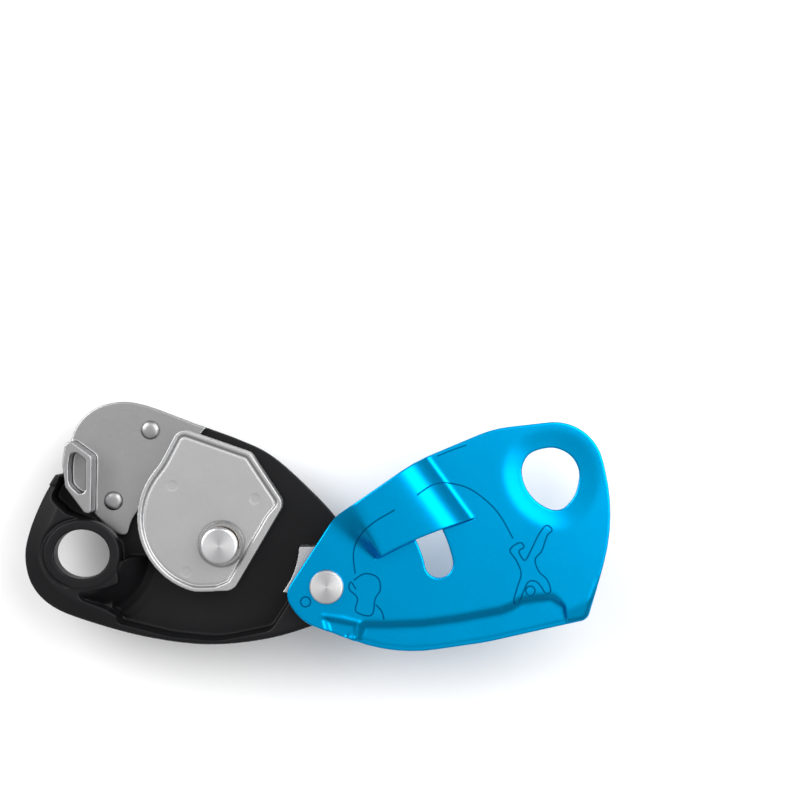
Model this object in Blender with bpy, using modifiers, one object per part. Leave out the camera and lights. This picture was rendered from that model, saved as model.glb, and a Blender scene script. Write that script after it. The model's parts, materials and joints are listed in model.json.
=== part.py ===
"""Assisted-braking belay device, lying on its back with its moving side plate swung open.

Every piece is drawn about the cam axle: x to the right, y up, z towards the cover side.
A single empty carries them all, so that the frame's origin is under the middle of the device.
"""

from math import acos, atan2, cos, hypot, pi, radians, sin, tan

import bmesh
import bpy
from mathutils import Matrix, Vector

MM = 0.001

# The cam axle, in the frame whose origin is under the middle of the open device
AXLE_IN_FRAME = (-25.8 * MM, -5.2 * MM, 0.0)

# Levels above the surface that the device lies on
COVER_Z = (6.2, 12.1)
HUB_Z = (6.4, 12.0)
FLOOR_Z = (12.4, 15.0)
WALL_TOP = 26.0
EYE_LAND_TOP = 26.3
PIVOT_LAND_TOP = 27.2
CAM_Z = (17.3, 26.0)
PLATE_Z = (28.4, 30.6)
PLATE_T = PLATE_Z[1] - PLATE_Z[0]
HEAD_Z = (30.9, 33.1)
HOOD_RISE = 5.0
RAIL_DROP = 1.8
LEVER_Z = (0.0, 5.8)

# Places about the cam axle
PIVOT = (28.9, -11.1)
EYE = (-38.0, -2.7)
MOVING_EYE = (89.5, 18.5)
SLOT_RADIUS = hypot(PIVOT[0], PIVOT[1])
SLOT_HALF_WIDTH = 3.8
SLOT_END_ANGLE = 11.4
SHEAR_ANGLE = 27.0
HOOD_RADII = (15.4, 24.0, 37.8, 44.0)
DRIVE_PIN_RADIUS = 10.3
LEVER_ANGLE = 138.7
HINGE_RADIUS = 15.0
HINGE_Z = 3.6
KNOB = (-2.0, -19.2)
KNOB_RADIUS = 5.8
PAWL_PIVOT = (8.4, 250.0)
PAWL_TIP = (8.4, 306.0)
AXLE_RADIUS = 3.2
HEAD_RADIUS = 5.0
RIVET_RADIUS = 4.65
SEGMENTS = 32

# Running clearances: round a turning shank, and between faces that slide
BORE_GAP = 0.25
FACE_GAP = 0.3

# Fasteners, as a name and a place, with the radii of their shanks and of the holes that they pass
GUIDE_RIVETS = (("guide_rivet_upper", (-20.4, 31.0)), ("guide_rivet_lower", (-30.6, 11.4)))
BLOCK_SCREWS = (("friction_block_screw_upper", (24.2, -2.4)), ("friction_block_screw_lower", (19.6, -12.4)))
COVER_SCREWS = (
    ("cover_screw_left", (-20.0, -16.4)),
    ("cover_screw_right", (16.4, -19.2)),
    ("cover_screw_top", (-8.0, 20.6)),
)
GUIDE_RIVET_RADIUS = 1.5
BLOCK_SCREW_RADIUS = 1.3
COVER_SCREW_RADIUS = 1.0
DRIVE_PIN_SHANK = 1.5
PIVOT_SHANK = 2.5
HINGE_PIN_RADIUS = 1.5
STEM_RADIUS = 2.2


def clear_scene():
    for item in list(bpy.data.objects):
        bpy.data.objects.remove(item, do_unlink=True)


def collection(name):
    made = bpy.data.collections.new(name)
    bpy.context.scene.collection.children.link(made)
    return made


def material(name, colour, roughness, metallic):
    made = bpy.data.materials.new(name)
    made.use_nodes = True
    shader = made.node_tree.nodes["Principled BSDF"]
    shader.inputs["Base Color"].default_value = (*colour, 1.0)
    shader.inputs["Roughness"].default_value = roughness
    shader.inputs["Metallic"].default_value = metallic
    made.diffuse_color = (*colour, 1.0)
    return made


clear_scene()
PARTS = collection("belay_device")
CUTTERS = collection("cutters")

BLUE = material("blue_anodised", (0.0, 0.33, 0.66), 0.3, 0.9)
BLACK = material("black_anodised", (0.02, 0.02, 0.022), 0.45, 0.6)
STAINLESS = material("stainless", (0.52, 0.53, 0.54), 0.35, 1.0)
STEEL = material("steel", (0.6, 0.6, 0.61), 0.28, 1.0)
SPRING_STEEL = material("spring_steel", (0.35, 0.35, 0.37), 0.3, 1.0)
NYLON = material("black_nylon", (0.025, 0.025, 0.027), 0.5, 0.0)
RUBBER = material("grip_rubber", (0.02, 0.02, 0.02), 0.8, 0.0)
GREY_NYLON = material("grey_nylon", (0.3, 0.31, 0.32), 0.5, 0.0)
BRONZE = material("bearing_bronze", (0.45, 0.3, 0.14), 0.4, 1.0)

CARRIER = bpy.data.objects.new("cam_axle_origin", None)
CARRIER.location = AXLE_IN_FRAME
PARTS.objects.link(CARRIER)


# ---------------------------------------------------------------- shape helpers


def polar(radius, angle, centre=(0.0, 0.0)):
    """The point at a radius and an angle in degrees about a centre."""
    turn = radians(angle)
    return (centre[0] + radius * cos(turn), centre[1] + radius * sin(turn))


def rounded(corners, per_turn=28):
    """Corners as (x, y, radius) made into a closed line with an arc at each corner."""
    line = []
    count = len(corners)
    for i, (x, y, radius) in enumerate(corners):
        here = Vector((x, y))
        before = Vector(corners[i - 1][:2]) - here
        after = Vector(corners[(i + 1) % count][:2]) - here
        room = min(before.length, after.length) * 0.49
        before.normalize()
        after.normalize()
        if radius <= 0.0:
            line.append((x, y))
            continue
        opening = acos(max(-1.0, min(1.0, before.dot(after))))
        reach = min(room, radius / tan(opening / 2))
        radius = reach * tan(opening / 2)
        start = here + before * reach
        end = here + after * reach
        centre = here + (before + after).normalized() * radius / sin(opening / 2)
        first = atan2(start.y - centre.y, start.x - centre.x)
        sweep = atan2(end.y - centre.y, end.x - centre.x) - first
        sweep = (sweep + pi) % (2 * pi) - pi
        steps = max(1, round(abs(sweep) / (2 * pi) * per_turn))
        for k in range(steps + 1):
            a = first + sweep * k / steps
            line.append((centre.x + radius * cos(a), centre.y + radius * sin(a)))
    return line


def smooth(points, per_span=3):
    """A closed line that runs smoothly through its points; a third value of 0 keeps a point sharp."""
    line = []
    count = len(points)
    for i in range(count):
        a, b, c, d = (Vector(points[(i + k) % count][:2]) for k in (-1, 0, 1, 2))
        leave = Vector((0.0, 0.0)) if len(points[i]) == 3 else (c - a) / 2
        arrive = Vector((0.0, 0.0)) if len(points[(i + 1) % count]) == 3 else (d - b) / 2
        for k in range(per_span):
            t = k / per_span
            spot = b * (2 * t**3 - 3 * t**2 + 1) + c * (3 * t**2 - 2 * t**3)
            spot += leave * (t**3 - 2 * t**2 + t) + arrive * (t**3 - t**2)
            line.append((spot.x, spot.y))
    return line


def oval(centre, half_width, half_height, steps=36):
    line = []
    for k in range(steps):
        a = 2 * pi * k / steps
        line.append((centre[0] + half_width * cos(a), centre[1] + half_height * sin(a)))
    return line


def arc_band(radius, half_width, first, last, centre=(0.0, 0.0), steps=10):
    """A curved slot about a centre, with round ends."""
    line = []
    for k in range(steps + 1):
        line.append(polar(radius + half_width, first + (last - first) * k / steps, centre))
    tip = polar(radius, last, centre)
    for k in range(1, 7):
        line.append(polar(half_width, last + 180.0 * k / 7, tip))
    for k in range(steps + 1):
        line.append(polar(radius - half_width, last + (first - last) * k / steps, centre))
    tip = polar(radius, first, centre)
    for k in range(1, 7):
        line.append(polar(half_width, first + 180.0 + 180.0 * k / 7, tip))
    return line


def mesh_of(item):
    """The evaluated object as a new mesh object in the same place, with its seams welded."""
    bpy.context.view_layer.update()
    graph = bpy.context.evaluated_depsgraph_get()
    mesh = bpy.data.meshes.new_from_object(item.evaluated_get(graph))
    welded = bmesh.new()
    welded.from_mesh(mesh)
    bmesh.ops.remove_doubles(welded, verts=welded.verts, dist=0.000002)
    bmesh.ops.recalc_face_normals(welded, faces=welded.faces)
    welded.to_mesh(mesh)
    welded.free()
    made = bpy.data.objects.new(item.name, mesh)
    made.matrix_world = item.matrix_world
    name = item.name
    bpy.data.objects.remove(item, do_unlink=True)
    made.name = name
    return made


def place(item, group, look=None, parent=None, origin=(0.0, 0.0, 0.0)):
    """Puts a piece under its parent, with its own origin at a point on its joint's axis."""
    if look is not None:
        item.data.materials.clear()
        item.data.materials.append(look)
    if group is CUTTERS:
        item.hide_render = True
        item.display_type = "WIRE"
    if item.name not in group.objects:
        group.objects.link(item)
    shift = Vector(origin) * MM
    item.data.transform(Matrix.Translation(-shift))
    item.location = shift
    item.parent = parent or CARRIER
    return item


def prism(name, outline, low, high, look=None, group=None, origin=(0.0, 0.0, 0.0)):
    """A flat outline made solid between two levels."""
    curve = bpy.data.curves.new(name, "CURVE")
    curve.dimensions = "2D"
    curve.fill_mode = "BOTH"
    curve.extrude = (high - low) / 2 * MM
    spline = curve.splines.new("POLY")
    spline.points.add(len(outline) - 1)
    for point, (x, y) in zip(spline.points, outline):
        point.co = (x * MM, y * MM, 0.0, 1.0)
    spline.use_cyclic_u = True
    item = bpy.data.objects.new(name, curve)
    PARTS.objects.link(item)
    item = mesh_of(item)
    item.data.transform(Matrix.Translation((0, 0, (low + high) / 2 * MM)))
    return place(item, group or PARTS, look, origin=origin)


def turned(name, profile, centre=(0.0, 0.0), look=None, group=None, steps=SEGMENTS, sweep=360.0, start=0.0):
    """A profile of (radius, z) points, given from its top down its outer side, turned about +Z."""
    mesh = bpy.data.meshes.new(name)
    rim = [(r * MM, 0.0, z * MM) for r, z in profile]
    edges = [(i, i + 1) for i in range(len(rim) - 1)]
    if profile[0][0] > 0.0 or profile[-1][0] > 0.0:
        edges.append((len(rim) - 1, 0))
    mesh.from_pydata(rim, edges, [])
    item = bpy.data.objects.new(name, mesh)
    PARTS.objects.link(item)
    screw = item.modifiers.new("turn", "SCREW")
    screw.axis = "Z"
    screw.angle = radians(sweep)
    screw.steps = steps
    screw.render_steps = steps
    screw.use_merge_vertices = True
    screw.merge_threshold = 0.00001
    screw.use_smooth_shade = False
    item = mesh_of(item)
    if sweep < 360.0:
        ends = bmesh.new()
        ends.from_mesh(item.data)
        bmesh.ops.holes_fill(ends, edges=[e for e in ends.edges if e.is_boundary], sides=0)
        bmesh.ops.recalc_face_normals(ends, faces=ends.faces)
        ends.to_mesh(item.data)
        ends.free()
    item.data.transform(Matrix.Rotation(radians(start), 4, "Z"))
    item.data.transform(Matrix.Translation((centre[0] * MM, centre[1] * MM, 0)))
    return place(item, group or PARTS, look, origin=(centre[0], centre[1], 0.0))


def bores(item, kind, spots, radius, low, high):
    """Round holes of one radius at each fastener's place, between two levels."""
    for name, spot in spots:
        boolean(item, disc(f"{name}_{kind}", radius, low, high, spot, group=CUTTERS, steps=16))


def disc(name, radius, low, high, centre=(0.0, 0.0), look=None, group=None, steps=SEGMENTS):
    return turned(name, [(0.0, high), (radius, high), (radius, low), (0.0, low)], centre, look, group, steps)


def ring(name, inner, outer, low, high, centre=(0.0, 0.0), look=None, group=None, steps=SEGMENTS):
    profile = [(inner, high), (outer, high), (outer, low), (inner, low)]
    return turned(name, profile, centre, look, group, steps)


def wire(name, points, radius, look):
    """A round wire along a line of points, with flat ends."""
    curve = bpy.data.curves.new(name, "CURVE")
    curve.dimensions = "3D"
    curve.bevel_depth = radius * MM
    curve.bevel_resolution = 1
    curve.use_fill_caps = True
    spline = curve.splines.new("POLY")
    spline.points.add(len(points) - 1)
    for point, (x, y, z) in zip(spline.points, points):
        point.co = (x * MM, y * MM, z * MM, 1.0)
    item = bpy.data.objects.new(name, curve)
    PARTS.objects.link(item)
    return place(mesh_of(item), PARTS, look)


def boolean(item, other, operation="DIFFERENCE"):
    """Cuts, joins or keeps the overlap of an item with a helper, which stays in the cutters' collection."""
    if other.name in PARTS.objects:
        PARTS.objects.unlink(other)
        CUTTERS.objects.link(other)
    other.hide_render = True
    other.display_type = "WIRE"
    step = item.modifiers.new(other.name, "BOOLEAN")
    step.operation = operation
    step.solver = "EXACT"
    step.object = other
    return item


def helix(radius, turns, low, high, per_turn=14, start=0.0):
    """Points of a coil about the cam axle."""
    count = round(turns * per_turn)
    line = []
    for k in range(count + 1):
        x, y = polar(radius, start + 360.0 * turns * k / count)
        line.append((x, y, low + (high - low) * k / count))
    return line


# ---------------------------------------------------------------- outlines

TRAY_OUTLINE = [
    (-45.3, 18.8, 0),
    (-49.0, 12.4),
    (-52.6, 3.6),
    (-53.9, -3.8),
    (-52.0, -11.4),
    (-46.4, -17.2),
    (-36.6, -21.2),
    (-20.6, -25.4),
    (-3.5, -27.4),
    (12.7, -25.8),
    (26.5, -21.7),
    (35.8, -17.6),
    (39.1, -10.6),
    (36.8, -2.2),
    (30.7, 6.9),
    (23.1, 15.0),
    (13.2, 23.7),
    (3.7, 28.4),
    (-12.5, 34.2),
    (-20.6, 37.2),
    (-29.0, 38.2),
    (-37.2, 35.0),
    (-41.2, 29.4),
    (-42.2, 22.0),
]
POCKET_OUTLINE = [
    (-46.8, 12.6, 1.6),
    (-42.4, 8.4, 2.0),
    (-36.6, 6.2, 2.0),
    (-28.6, -0.4, 3.0),
    (-28.0, -12.0, 2.0),
    (-28.6, -21.6, 1.5),
    (-14.0, -25.2, 25.0),
    (-1.0, -26.5, 25.0),
    (13.6, -23.4, 4.0),
    (19.6, -14.0, 4.0),
    (24.6, -1.5, 7.0),
    (31.0, 2.4, 2.5),
    (36.0, 6.0, 1.0),
    (14.0, 32.0, 1.0),
    (-28.0, 50.0, 1.0),
    (-55.0, 40.0, 1.0),
    (-49.0, 24.0, 1.0),
    (-44.0, 18.2, 1.0),
]
EYE_RECESS_OUTLINE = [
    (-26.4, -9.0, 1.0),
    (-31.4, -12.4, 3.0),
    (-38.0, -13.6, 3.0),
    (-36.0, -15.2, 0.8),
    (-31.6, -17.4, 6.0),
    (-26.4, -20.6, 1.0),
]
EYE_UNDERSIDE = [
    (-60.0, 8.0, 1.0),
    (-60.0, -30.0, 1.0),
    (-31.0, -30.0, 1.0),
    (-30.4, -8.0, 3.0),
    (-36.6, 3.0, 3.0),
    (-43.0, 6.2, 3.0),
    (-50.0, 7.6, 1.0),
]
GUIDE_OUTLINE = [
    (-43.4, 21.6),
    (-42.7, 27.0),
    (-40.2, 33.0),
    (-35.2, 37.2),
    (-28.4, 38.8),
    (-21.6, 37.8),
    (-12.3, 34.4, 0),
    (-5.0, 31.6, 0),
    (-16.0, 18.0),
    (-24.6, 7.4),
    (-27.0, 2.2),
    (-31.0, 3.0),
    (-37.0, 9.0),
    (-41.8, 15.8),
]
FINGER_OUTLINE = [
    (-43.4, 22.0, 6.0),
    (-42.4, 29.2, 1.6),
    (-35.2, 23.9, 1.6),
    (-35.5, 8.2, 1.0),
    (-37.4, 8.6, 1.0),
    (-42.6, 15.6, 2.0),
]
FINGER_POCKET = [
    (-41.8, 21.0, 4.0),
    (-41.2, 26.6, 1.0),
    (-36.9, 23.2, 1.0),
    (-37.0, 11.6, 1.0),
    (-41.6, 16.0, 2.0),
]
# The cam's four corners, and the long round flank that the rope bends against
CAM_CORNERS = [
    (-11.6, 31.7, 3.2),
    (7.9, 24.9, 3.0),
    (17.1, 11.0, 3.4),
    (3.3, -12.6, 3.6),
]
CAM_FLANK_CENTRE = (-2.3, 7.0)
CAM_FLANK_RADIUS = 20.7
PLATE_OUTLINE = [
    (17.2, -13.4, 5.0),
    (31.0, 7.8, 14.0),
    (52.1, 22.4, 40.0),
    (74.0, 31.6, 30.0),
    (100.6, 34.6, 13.5),
    (107.3, 8.0, 60.0),
    (99.6, -20.2, 3.0),
    (72.0, -26.4, 40.0),
    (47.0, -30.0, 45.0),
    (22.0, -20.6, 12.0),
]
# The moving eye as (angle, radius) about its centre, a round triangle
MOVING_EYE_SHAPE = [
    (10.0, 7.8),
    (45.0, 7.85),
    (80.0, 7.85),
    (113.0, 8.0),
    (138.0, 8.45),
    (165.0, 8.1),
    (195.0, 7.4),
    (225.0, 7.35),
    (250.0, 7.9),
    (270.0, 8.75),
    (286.0, 9.2),
    (302.0, 8.8),
    (330.0, 8.0),
]
RAIL_INNER = [
    (36.6, -21.0, 3.0),
    (56.0, -21.9, 30.0),
    (78.0, -18.4, 4.0),
    (82.5, -15.6, 2.0),
    (91.6, -14.6, 2.6),
    (94.2, -20.0, 1.0),
    (96.0, -40.0, 1.0),
    (36.0, -40.0, 1.0),
]


# ---------------------------------------------------------------- stationary side


def stationary_side_plate():
    tray = prism("stationary_side_plate", smooth(TRAY_OUTLINE), FLOOR_Z[0], WALL_TOP, BLACK)
    boolean(tray, prism("tray_pocket", rounded(POCKET_OUTLINE), FLOOR_Z[1], 40.0, group=CUTTERS))
    boolean(tray, prism("eye_recess", rounded(EYE_RECESS_OUTLINE), 21.4, 40.0, group=CUTTERS))
    boolean(tray, prism("eye_land", oval(EYE, 10.6, 9.5), 20.0, EYE_LAND_TOP), "UNION")
    boolean(tray, disc("pivot_boss", 9.3, 20.0, PIVOT_LAND_TOP, PIVOT), "UNION")
    boolean(tray, prism("block_seat", block_outline(0.35), FLOOR_Z[1], 40.0, group=CUTTERS))
    boolean(tray, prism("eye_underside", rounded(EYE_UNDERSIDE), 5.0, 18.8, group=CUTTERS))
    boolean(tray, prism("eye_hole", oval(EYE, 7.6, 6.7), 5.0, 40.0, group=CUTTERS))
    boolean(tray, disc("axle_bore", AXLE_RADIUS + BORE_GAP, 5.0, 20.0, group=CUTTERS))
    slot = arc_band(DRIVE_PIN_RADIUS, 1.9, 151.0, 184.0)
    boolean(tray, prism("drive_pin_slot", slot, 5.0, 20.0, group=CUTTERS))
    boolean(tray, disc("pivot_bore", PIVOT_SHANK + FACE_GAP, 5.0, 40.0, PIVOT, group=CUTTERS))
    bores(tray, "bore", GUIDE_RIVETS, GUIDE_RIVET_RADIUS + BORE_GAP, 5.0, 20.0)
    bores(tray, "bore", BLOCK_SCREWS, BLOCK_SCREW_RADIUS + BORE_GAP, 5.0, 20.0)
    bores(tray, "bore", COVER_SCREWS, COVER_SCREW_RADIUS + FACE_GAP, 5.0, 14.2)
    boolean(tray, disc("knob_stem_bore", STEM_RADIUS + FACE_GAP, 5.0, 13.9, KNOB, group=CUTTERS))
    return tray


def rope_guide_plate():
    base = FLOOR_Z[1] + FACE_GAP
    guide = prism("rope_guide_plate", smooth(GUIDE_OUTLINE), base, base + 1.6, STAINLESS)
    boolean(guide, prism("finger", rounded(FINGER_OUTLINE), base + 0.4, WALL_TOP - FACE_GAP), "UNION")
    boolean(guide, prism("finger_pocket", rounded(FINGER_POCKET), 22.4, 40.0, group=CUTTERS))
    bores(guide, "seat", GUIDE_RIVETS, GUIDE_RIVET_RADIUS + BORE_GAP, 5.0, 40.0)
    return guide


def guide_rivets():
    top = FLOOR_Z[1] + 2.2
    for name, spot in GUIDE_RIVETS:
        profile = [(0.0, top + 0.7), (1.6, top + 0.6), (2.6, top)]
        profile += [(GUIDE_RIVET_RADIUS, top), (GUIDE_RIVET_RADIUS, FLOOR_Z[0] - FACE_GAP)]
        profile += [(2.4, FLOOR_Z[0] - FACE_GAP), (2.4, FLOOR_Z[0] - 0.9), (0.0, FLOOR_Z[0] - 0.9)]
        turned(name, profile, spot, STEEL, steps=16)


def block_outline(gap):
    """The friction block's outline, hollow towards the cam, grown by a gap on its other sides."""
    face = [polar(21.2 - gap, -38.0 - gap + (36.0 + 2 * gap) * k / 6) for k in range(7)]
    back = [(27.0 + gap, -0.7 + gap), (25.2 + gap, -6.4), (20.4 + gap, -13.6 - gap)]
    return face + back


def friction_block():
    """Hard steel block beside the pivot: the cam pinches the rope against its hollow face."""
    block = prism("friction_block", block_outline(0.0), FLOOR_Z[1] + FACE_GAP, WALL_TOP - 0.4, STEEL)
    bores(block, "thread", BLOCK_SCREWS, BLOCK_SCREW_RADIUS + BORE_GAP, 5.0, 22.0)
    return block


def friction_block_screws():
    for name, spot in BLOCK_SCREWS:
        disc(name, BLOCK_SCREW_RADIUS, FLOOR_Z[0] + 0.1, 21.6, spot, STEEL, steps=16)


# ---------------------------------------------------------------- cam and its axle


def cam():
    outline = list(CAM_CORNERS)
    for k in range(11):
        x, y = polar(CAM_FLANK_RADIUS, 256.0 - 12.2 * k, CAM_FLANK_CENTRE)
        outline.append((x, y, 30.0))
    body = prism("cam", rounded(outline), CAM_Z[0], CAM_Z[1], STAINLESS)
    inner = [(x * 0.925 - 0.15, y * 0.935 + 0.62, r * 0.85) for x, y, r in outline]
    boolean(body, prism("cam_recess", rounded(inner), CAM_Z[1] - 0.6, 40.0, group=CUTTERS))
    boolean(body, disc("cam_bore", 4.7, 5.0, 40.0, group=CUTTERS))
    boolean(body, disc("cam_spring_pocket", 8.4, 5.0, 21.2, group=CUTTERS))
    spot = polar(DRIVE_PIN_RADIUS, 180.0)
    bore = disc("drive_pin_bore", DRIVE_PIN_SHANK + BORE_GAP, 5.0, 22.3, spot, group=CUTTERS, steps=20)
    boolean(body, bore)
    return body


def cam_pins():
    ring("cam_bush", AXLE_RADIUS + BORE_GAP, 4.45, CAM_Z[0] + 0.2, CAM_Z[1] - 0.7, look=BRONZE)
    spot = polar(DRIVE_PIN_RADIUS, 180.0)
    disc("cam_drive_pin", DRIVE_PIN_SHANK, 9.6, 22.0, spot, STEEL, steps=20)
    groove = [(0.0, HEAD_Z[1]), (HEAD_RADIUS - 0.5, HEAD_Z[1]), (HEAD_RADIUS, HEAD_Z[1] - 0.4)]
    groove += [(HEAD_RADIUS, HEAD_Z[0]), (AXLE_RADIUS, HEAD_Z[0]), (AXLE_RADIUS, 7.8), (2.6, 7.8)]
    groove += [(2.6, 6.8), (AXLE_RADIUS, 6.8), (AXLE_RADIUS, 6.5), (0.0, 6.5)]
    turned("cam_axle", groove, look=STEEL)
    coil = helix(6.4, 2.6, 17.9, 20.5)
    wire("cam_return_spring", coil, 0.5, SPRING_STEEL)


def axle_retaining_ring():
    """Open spring ring in the axle's groove."""
    outline = []
    for k in range(17):
        outline.append(polar(4.7, 20.0 + 320.0 * k / 16))
    for k in range(17):
        outline.append(polar(2.85, 340.0 - 320.0 * k / 16))
    prism("axle_retaining_ring", outline, 7.0, 7.6, SPRING_STEEL)


# ---------------------------------------------------------------- moving side plate


def moving_eye(margin):
    """The moving eye's outline, grown all round by a margin."""
    return smooth([polar(radius + margin, angle, MOVING_EYE) for angle, radius in MOVING_EYE_SHAPE])


def moving_side_plate():
    """Pressed plate: a blank takes the hood, rail and eye dish, and is then trimmed to its outline."""
    low, high = PLATE_Z
    bite = 0.3
    blank = [(10.0, -38.0), (115.0, -38.0), (115.0, 42.0), (10.0, 42.0)]
    plate = prism("moving_side_plate", blank, low, high, BLUE, origin=(*PIVOT, 0.0))
    inner, ramp, crest, foot = HOOD_RADII
    steps = 12
    far_angle = 100.0
    opening = []
    for k in range(steps + 1):
        opening.append(polar(foot, SHEAR_ANGLE - 2.5 + (far_angle - SHEAR_ANGLE + 2.5) * k / steps, PIVOT))
    for k in range(steps + 1):
        opening.append(polar(inner, far_angle + (SHEAR_ANGLE + 4.0 - far_angle) * k / steps, PIVOT))
    boolean(plate, prism("hood_opening", opening, low - 3.0, high + 3.0, group=CUTTERS))
    top = high + HOOD_RISE
    profile = [(inner - 1.2, high - bite), (inner - 0.5, high - bite), (ramp, top), (crest, top)]
    profile += [(foot + 0.4, high - bite), (foot + 1.4, high - bite), (foot + 1.4, low + bite)]
    profile += [(foot - 0.6, low + bite), (crest - 0.8, top - PLATE_T), (ramp + 0.3, top - PLATE_T)]
    profile += [(inner + 0.3, low + bite), (inner - 1.2, low + bite)]
    hood = turned("hood", profile, PIVOT, steps=18, sweep=far_angle - SHEAR_ANGLE + 1.0, start=SHEAR_ANGLE)
    boolean(plate, hood, "UNION")
    outer = [(x, y + 1.3 if y > -30.0 else y, r) for x, y, r in RAIL_INNER]
    boolean(plate, prism("rail_under", rounded(outer), low - RAIL_DROP, high - 0.5), "UNION")
    boolean(plate, prism("rail_cut", rounded(RAIL_INNER), high - RAIL_DROP, high + 9.0, group=CUTTERS))
    boolean(plate, prism("eye_dish", moving_eye(4.6), low - 1.8, high - 0.5), "UNION")
    boolean(plate, prism("eye_bowl", moving_eye(3.4), high - 1.6, high + 5.0, group=CUTTERS))
    boolean(plate, prism("moving_eye_hole", moving_eye(0.0), 20.0, 40.0, group=CUTTERS))
    slot = arc_band(SLOT_RADIUS, SLOT_HALF_WIDTH, SLOT_END_ANGLE, SHEAR_ANGLE + 8.0, PIVOT)
    boolean(plate, prism("axle_slot", slot, low - 5.0, high + 1.0, group=CUTTERS))
    boolean(plate, disc("side_plate_bore", PIVOT_SHANK + FACE_GAP, 20.0, 40.0, PIVOT, group=CUTTERS))
    boolean(plate, prism("plate_trim", rounded(PLATE_OUTLINE), low - 9.0, high + 15.0), "INTERSECT")
    return plate


def side_plate_pivot():
    """Headed rivet through both plates, with its thrust washer between them."""
    top = PLATE_Z[1] + 0.25
    under = FLOOR_Z[0] - 0.25
    profile = [(0.0, top + 1.5), (RIVET_RADIUS - 0.5, top + 1.5), (RIVET_RADIUS, top + 1.1)]
    profile += [(RIVET_RADIUS, top), (PIVOT_SHANK, top), (PIVOT_SHANK, under), (4.2, under)]
    profile += [(4.2, under - 1.1), (3.8, under - 1.5), (0.0, under - 1.5)]
    turned("side_plate_rivet", profile, PIVOT, STEEL)
    low, high = PIVOT_LAND_TOP + 0.2, PLATE_Z[0] - 0.25
    ring("side_plate_washer", PIVOT_SHANK + FACE_GAP, 6.6, low, high, PIVOT, STEEL)


# ---------------------------------------------------------------- handle and its clutch


def along_lever(distance, side=0.0):
    """A point at a distance along the folded lever from the cam axle, and to one side of it."""
    x, y = polar(distance, LEVER_ANGLE)
    dx, dy = polar(side, LEVER_ANGLE + 90.0)
    return (x + dx, y + dy)


def lever_outline(corners):
    return rounded([(*along_lever(d, s), r) for d, s, r in corners])


def cross_pin(name, radius, half_length, look=None, group=None, steps=20):
    """A round pin across the lever, on the fold hinge's axis."""
    made = disc(name, radius, -half_length, half_length, look=look, group=group, steps=steps)
    axis = Vector((*polar(1.0, LEVER_ANGLE + 90.0), 0.0))
    turn = Vector((0.0, 0.0, 1.0)).rotation_difference(axis)
    centre = along_lever(-HINGE_RADIUS)
    made.data.transform(turn.to_matrix().to_4x4())
    made.location = Vector((centre[0], centre[1], HINGE_Z)) * MM
    return made


def release_hub():
    bore = AXLE_RADIUS + BORE_GAP
    low, high = HUB_Z
    profile = [(bore, high), (4.6, high), (4.6, 9.0), (11.9, 9.0), (11.9, high), (12.6, high)]
    profile += [(12.6, low), (5.2, low), (5.2, 7.9), (bore, 7.9)]
    hub = turned("release_hub", profile, look=NYLON, steps=40)
    arms = lever_outline([(-9.0, -8.0, 0.5), (-9.0, 8.0, 0.5), (-18.4, 8.0, 2.2), (-18.4, -8.0, 2.2)])
    arms = prism("hub_arms", arms, 1.2, 8.5)
    gap = lever_outline([(-6.0, -5.0, 0.0), (-6.0, 5.0, 0.0), (-24.0, 5.0, 0.0), (-24.0, -5.0, 0.0)])
    boolean(arms, prism("hub_arm_gap", gap, -2.0, 9.5, group=CUTTERS))
    boolean(hub, arms, "UNION")
    boolean(hub, cross_pin("hub_pin_bore", HINGE_PIN_RADIUS + BORE_GAP, 14.0, group=CUTTERS))
    pawl_spot = polar(*PAWL_PIVOT)
    boolean(hub, disc("pawl_pin_bore", 1.05, 7.2, 20.0, pawl_spot, group=CUTTERS, steps=16))
    return hub


def handle_lever():
    half = [(-17.4, 4.6, 1.5), (-8.0, 4.6, 3.0), (-2.6, 7.2, 4.0), (22.0, 7.4, 30.0), (42.5, 6.2, 5.5)]
    corners = half + [(d, -s, r) for d, s, r in reversed(half)]
    centre = along_lever(-HINGE_RADIUS)
    lever = prism("handle_lever", lever_outline(corners), LEVER_Z[0], LEVER_Z[1], NYLON,
                  origin=(centre[0], centre[1], HINGE_Z))
    hollow = [(9.0, -5.2, 2.0), (9.0, 5.2, 2.0), (39.5, 4.2, 4.0), (39.5, -4.2, 4.0)]
    boolean(lever, prism("lever_hollow", lever_outline(hollow), 2.2, 9.0, group=CUTTERS))
    pad = [(13.0, -4.6, 2.0), (13.0, 4.6, 2.0), (39.0, 4.0, 3.6), (39.0, -4.0, 3.6)]
    boolean(lever, prism("grip_seat", lever_outline(pad), -2.0, 1.0, group=CUTTERS))
    boolean(lever, cross_pin("lever_pin_bore", HINGE_PIN_RADIUS + BORE_GAP, 14.0, group=CUTTERS))
    spring_gap = [(-20.0, -1.9, 0.0), (-20.0, 1.9, 0.0), (-12.0, 1.9, 0.0), (-12.0, -1.9, 0.0)]
    boolean(lever, prism("lever_spring_gap", lever_outline(spring_gap), 1.4, 9.0, group=CUTTERS))
    return lever


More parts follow.
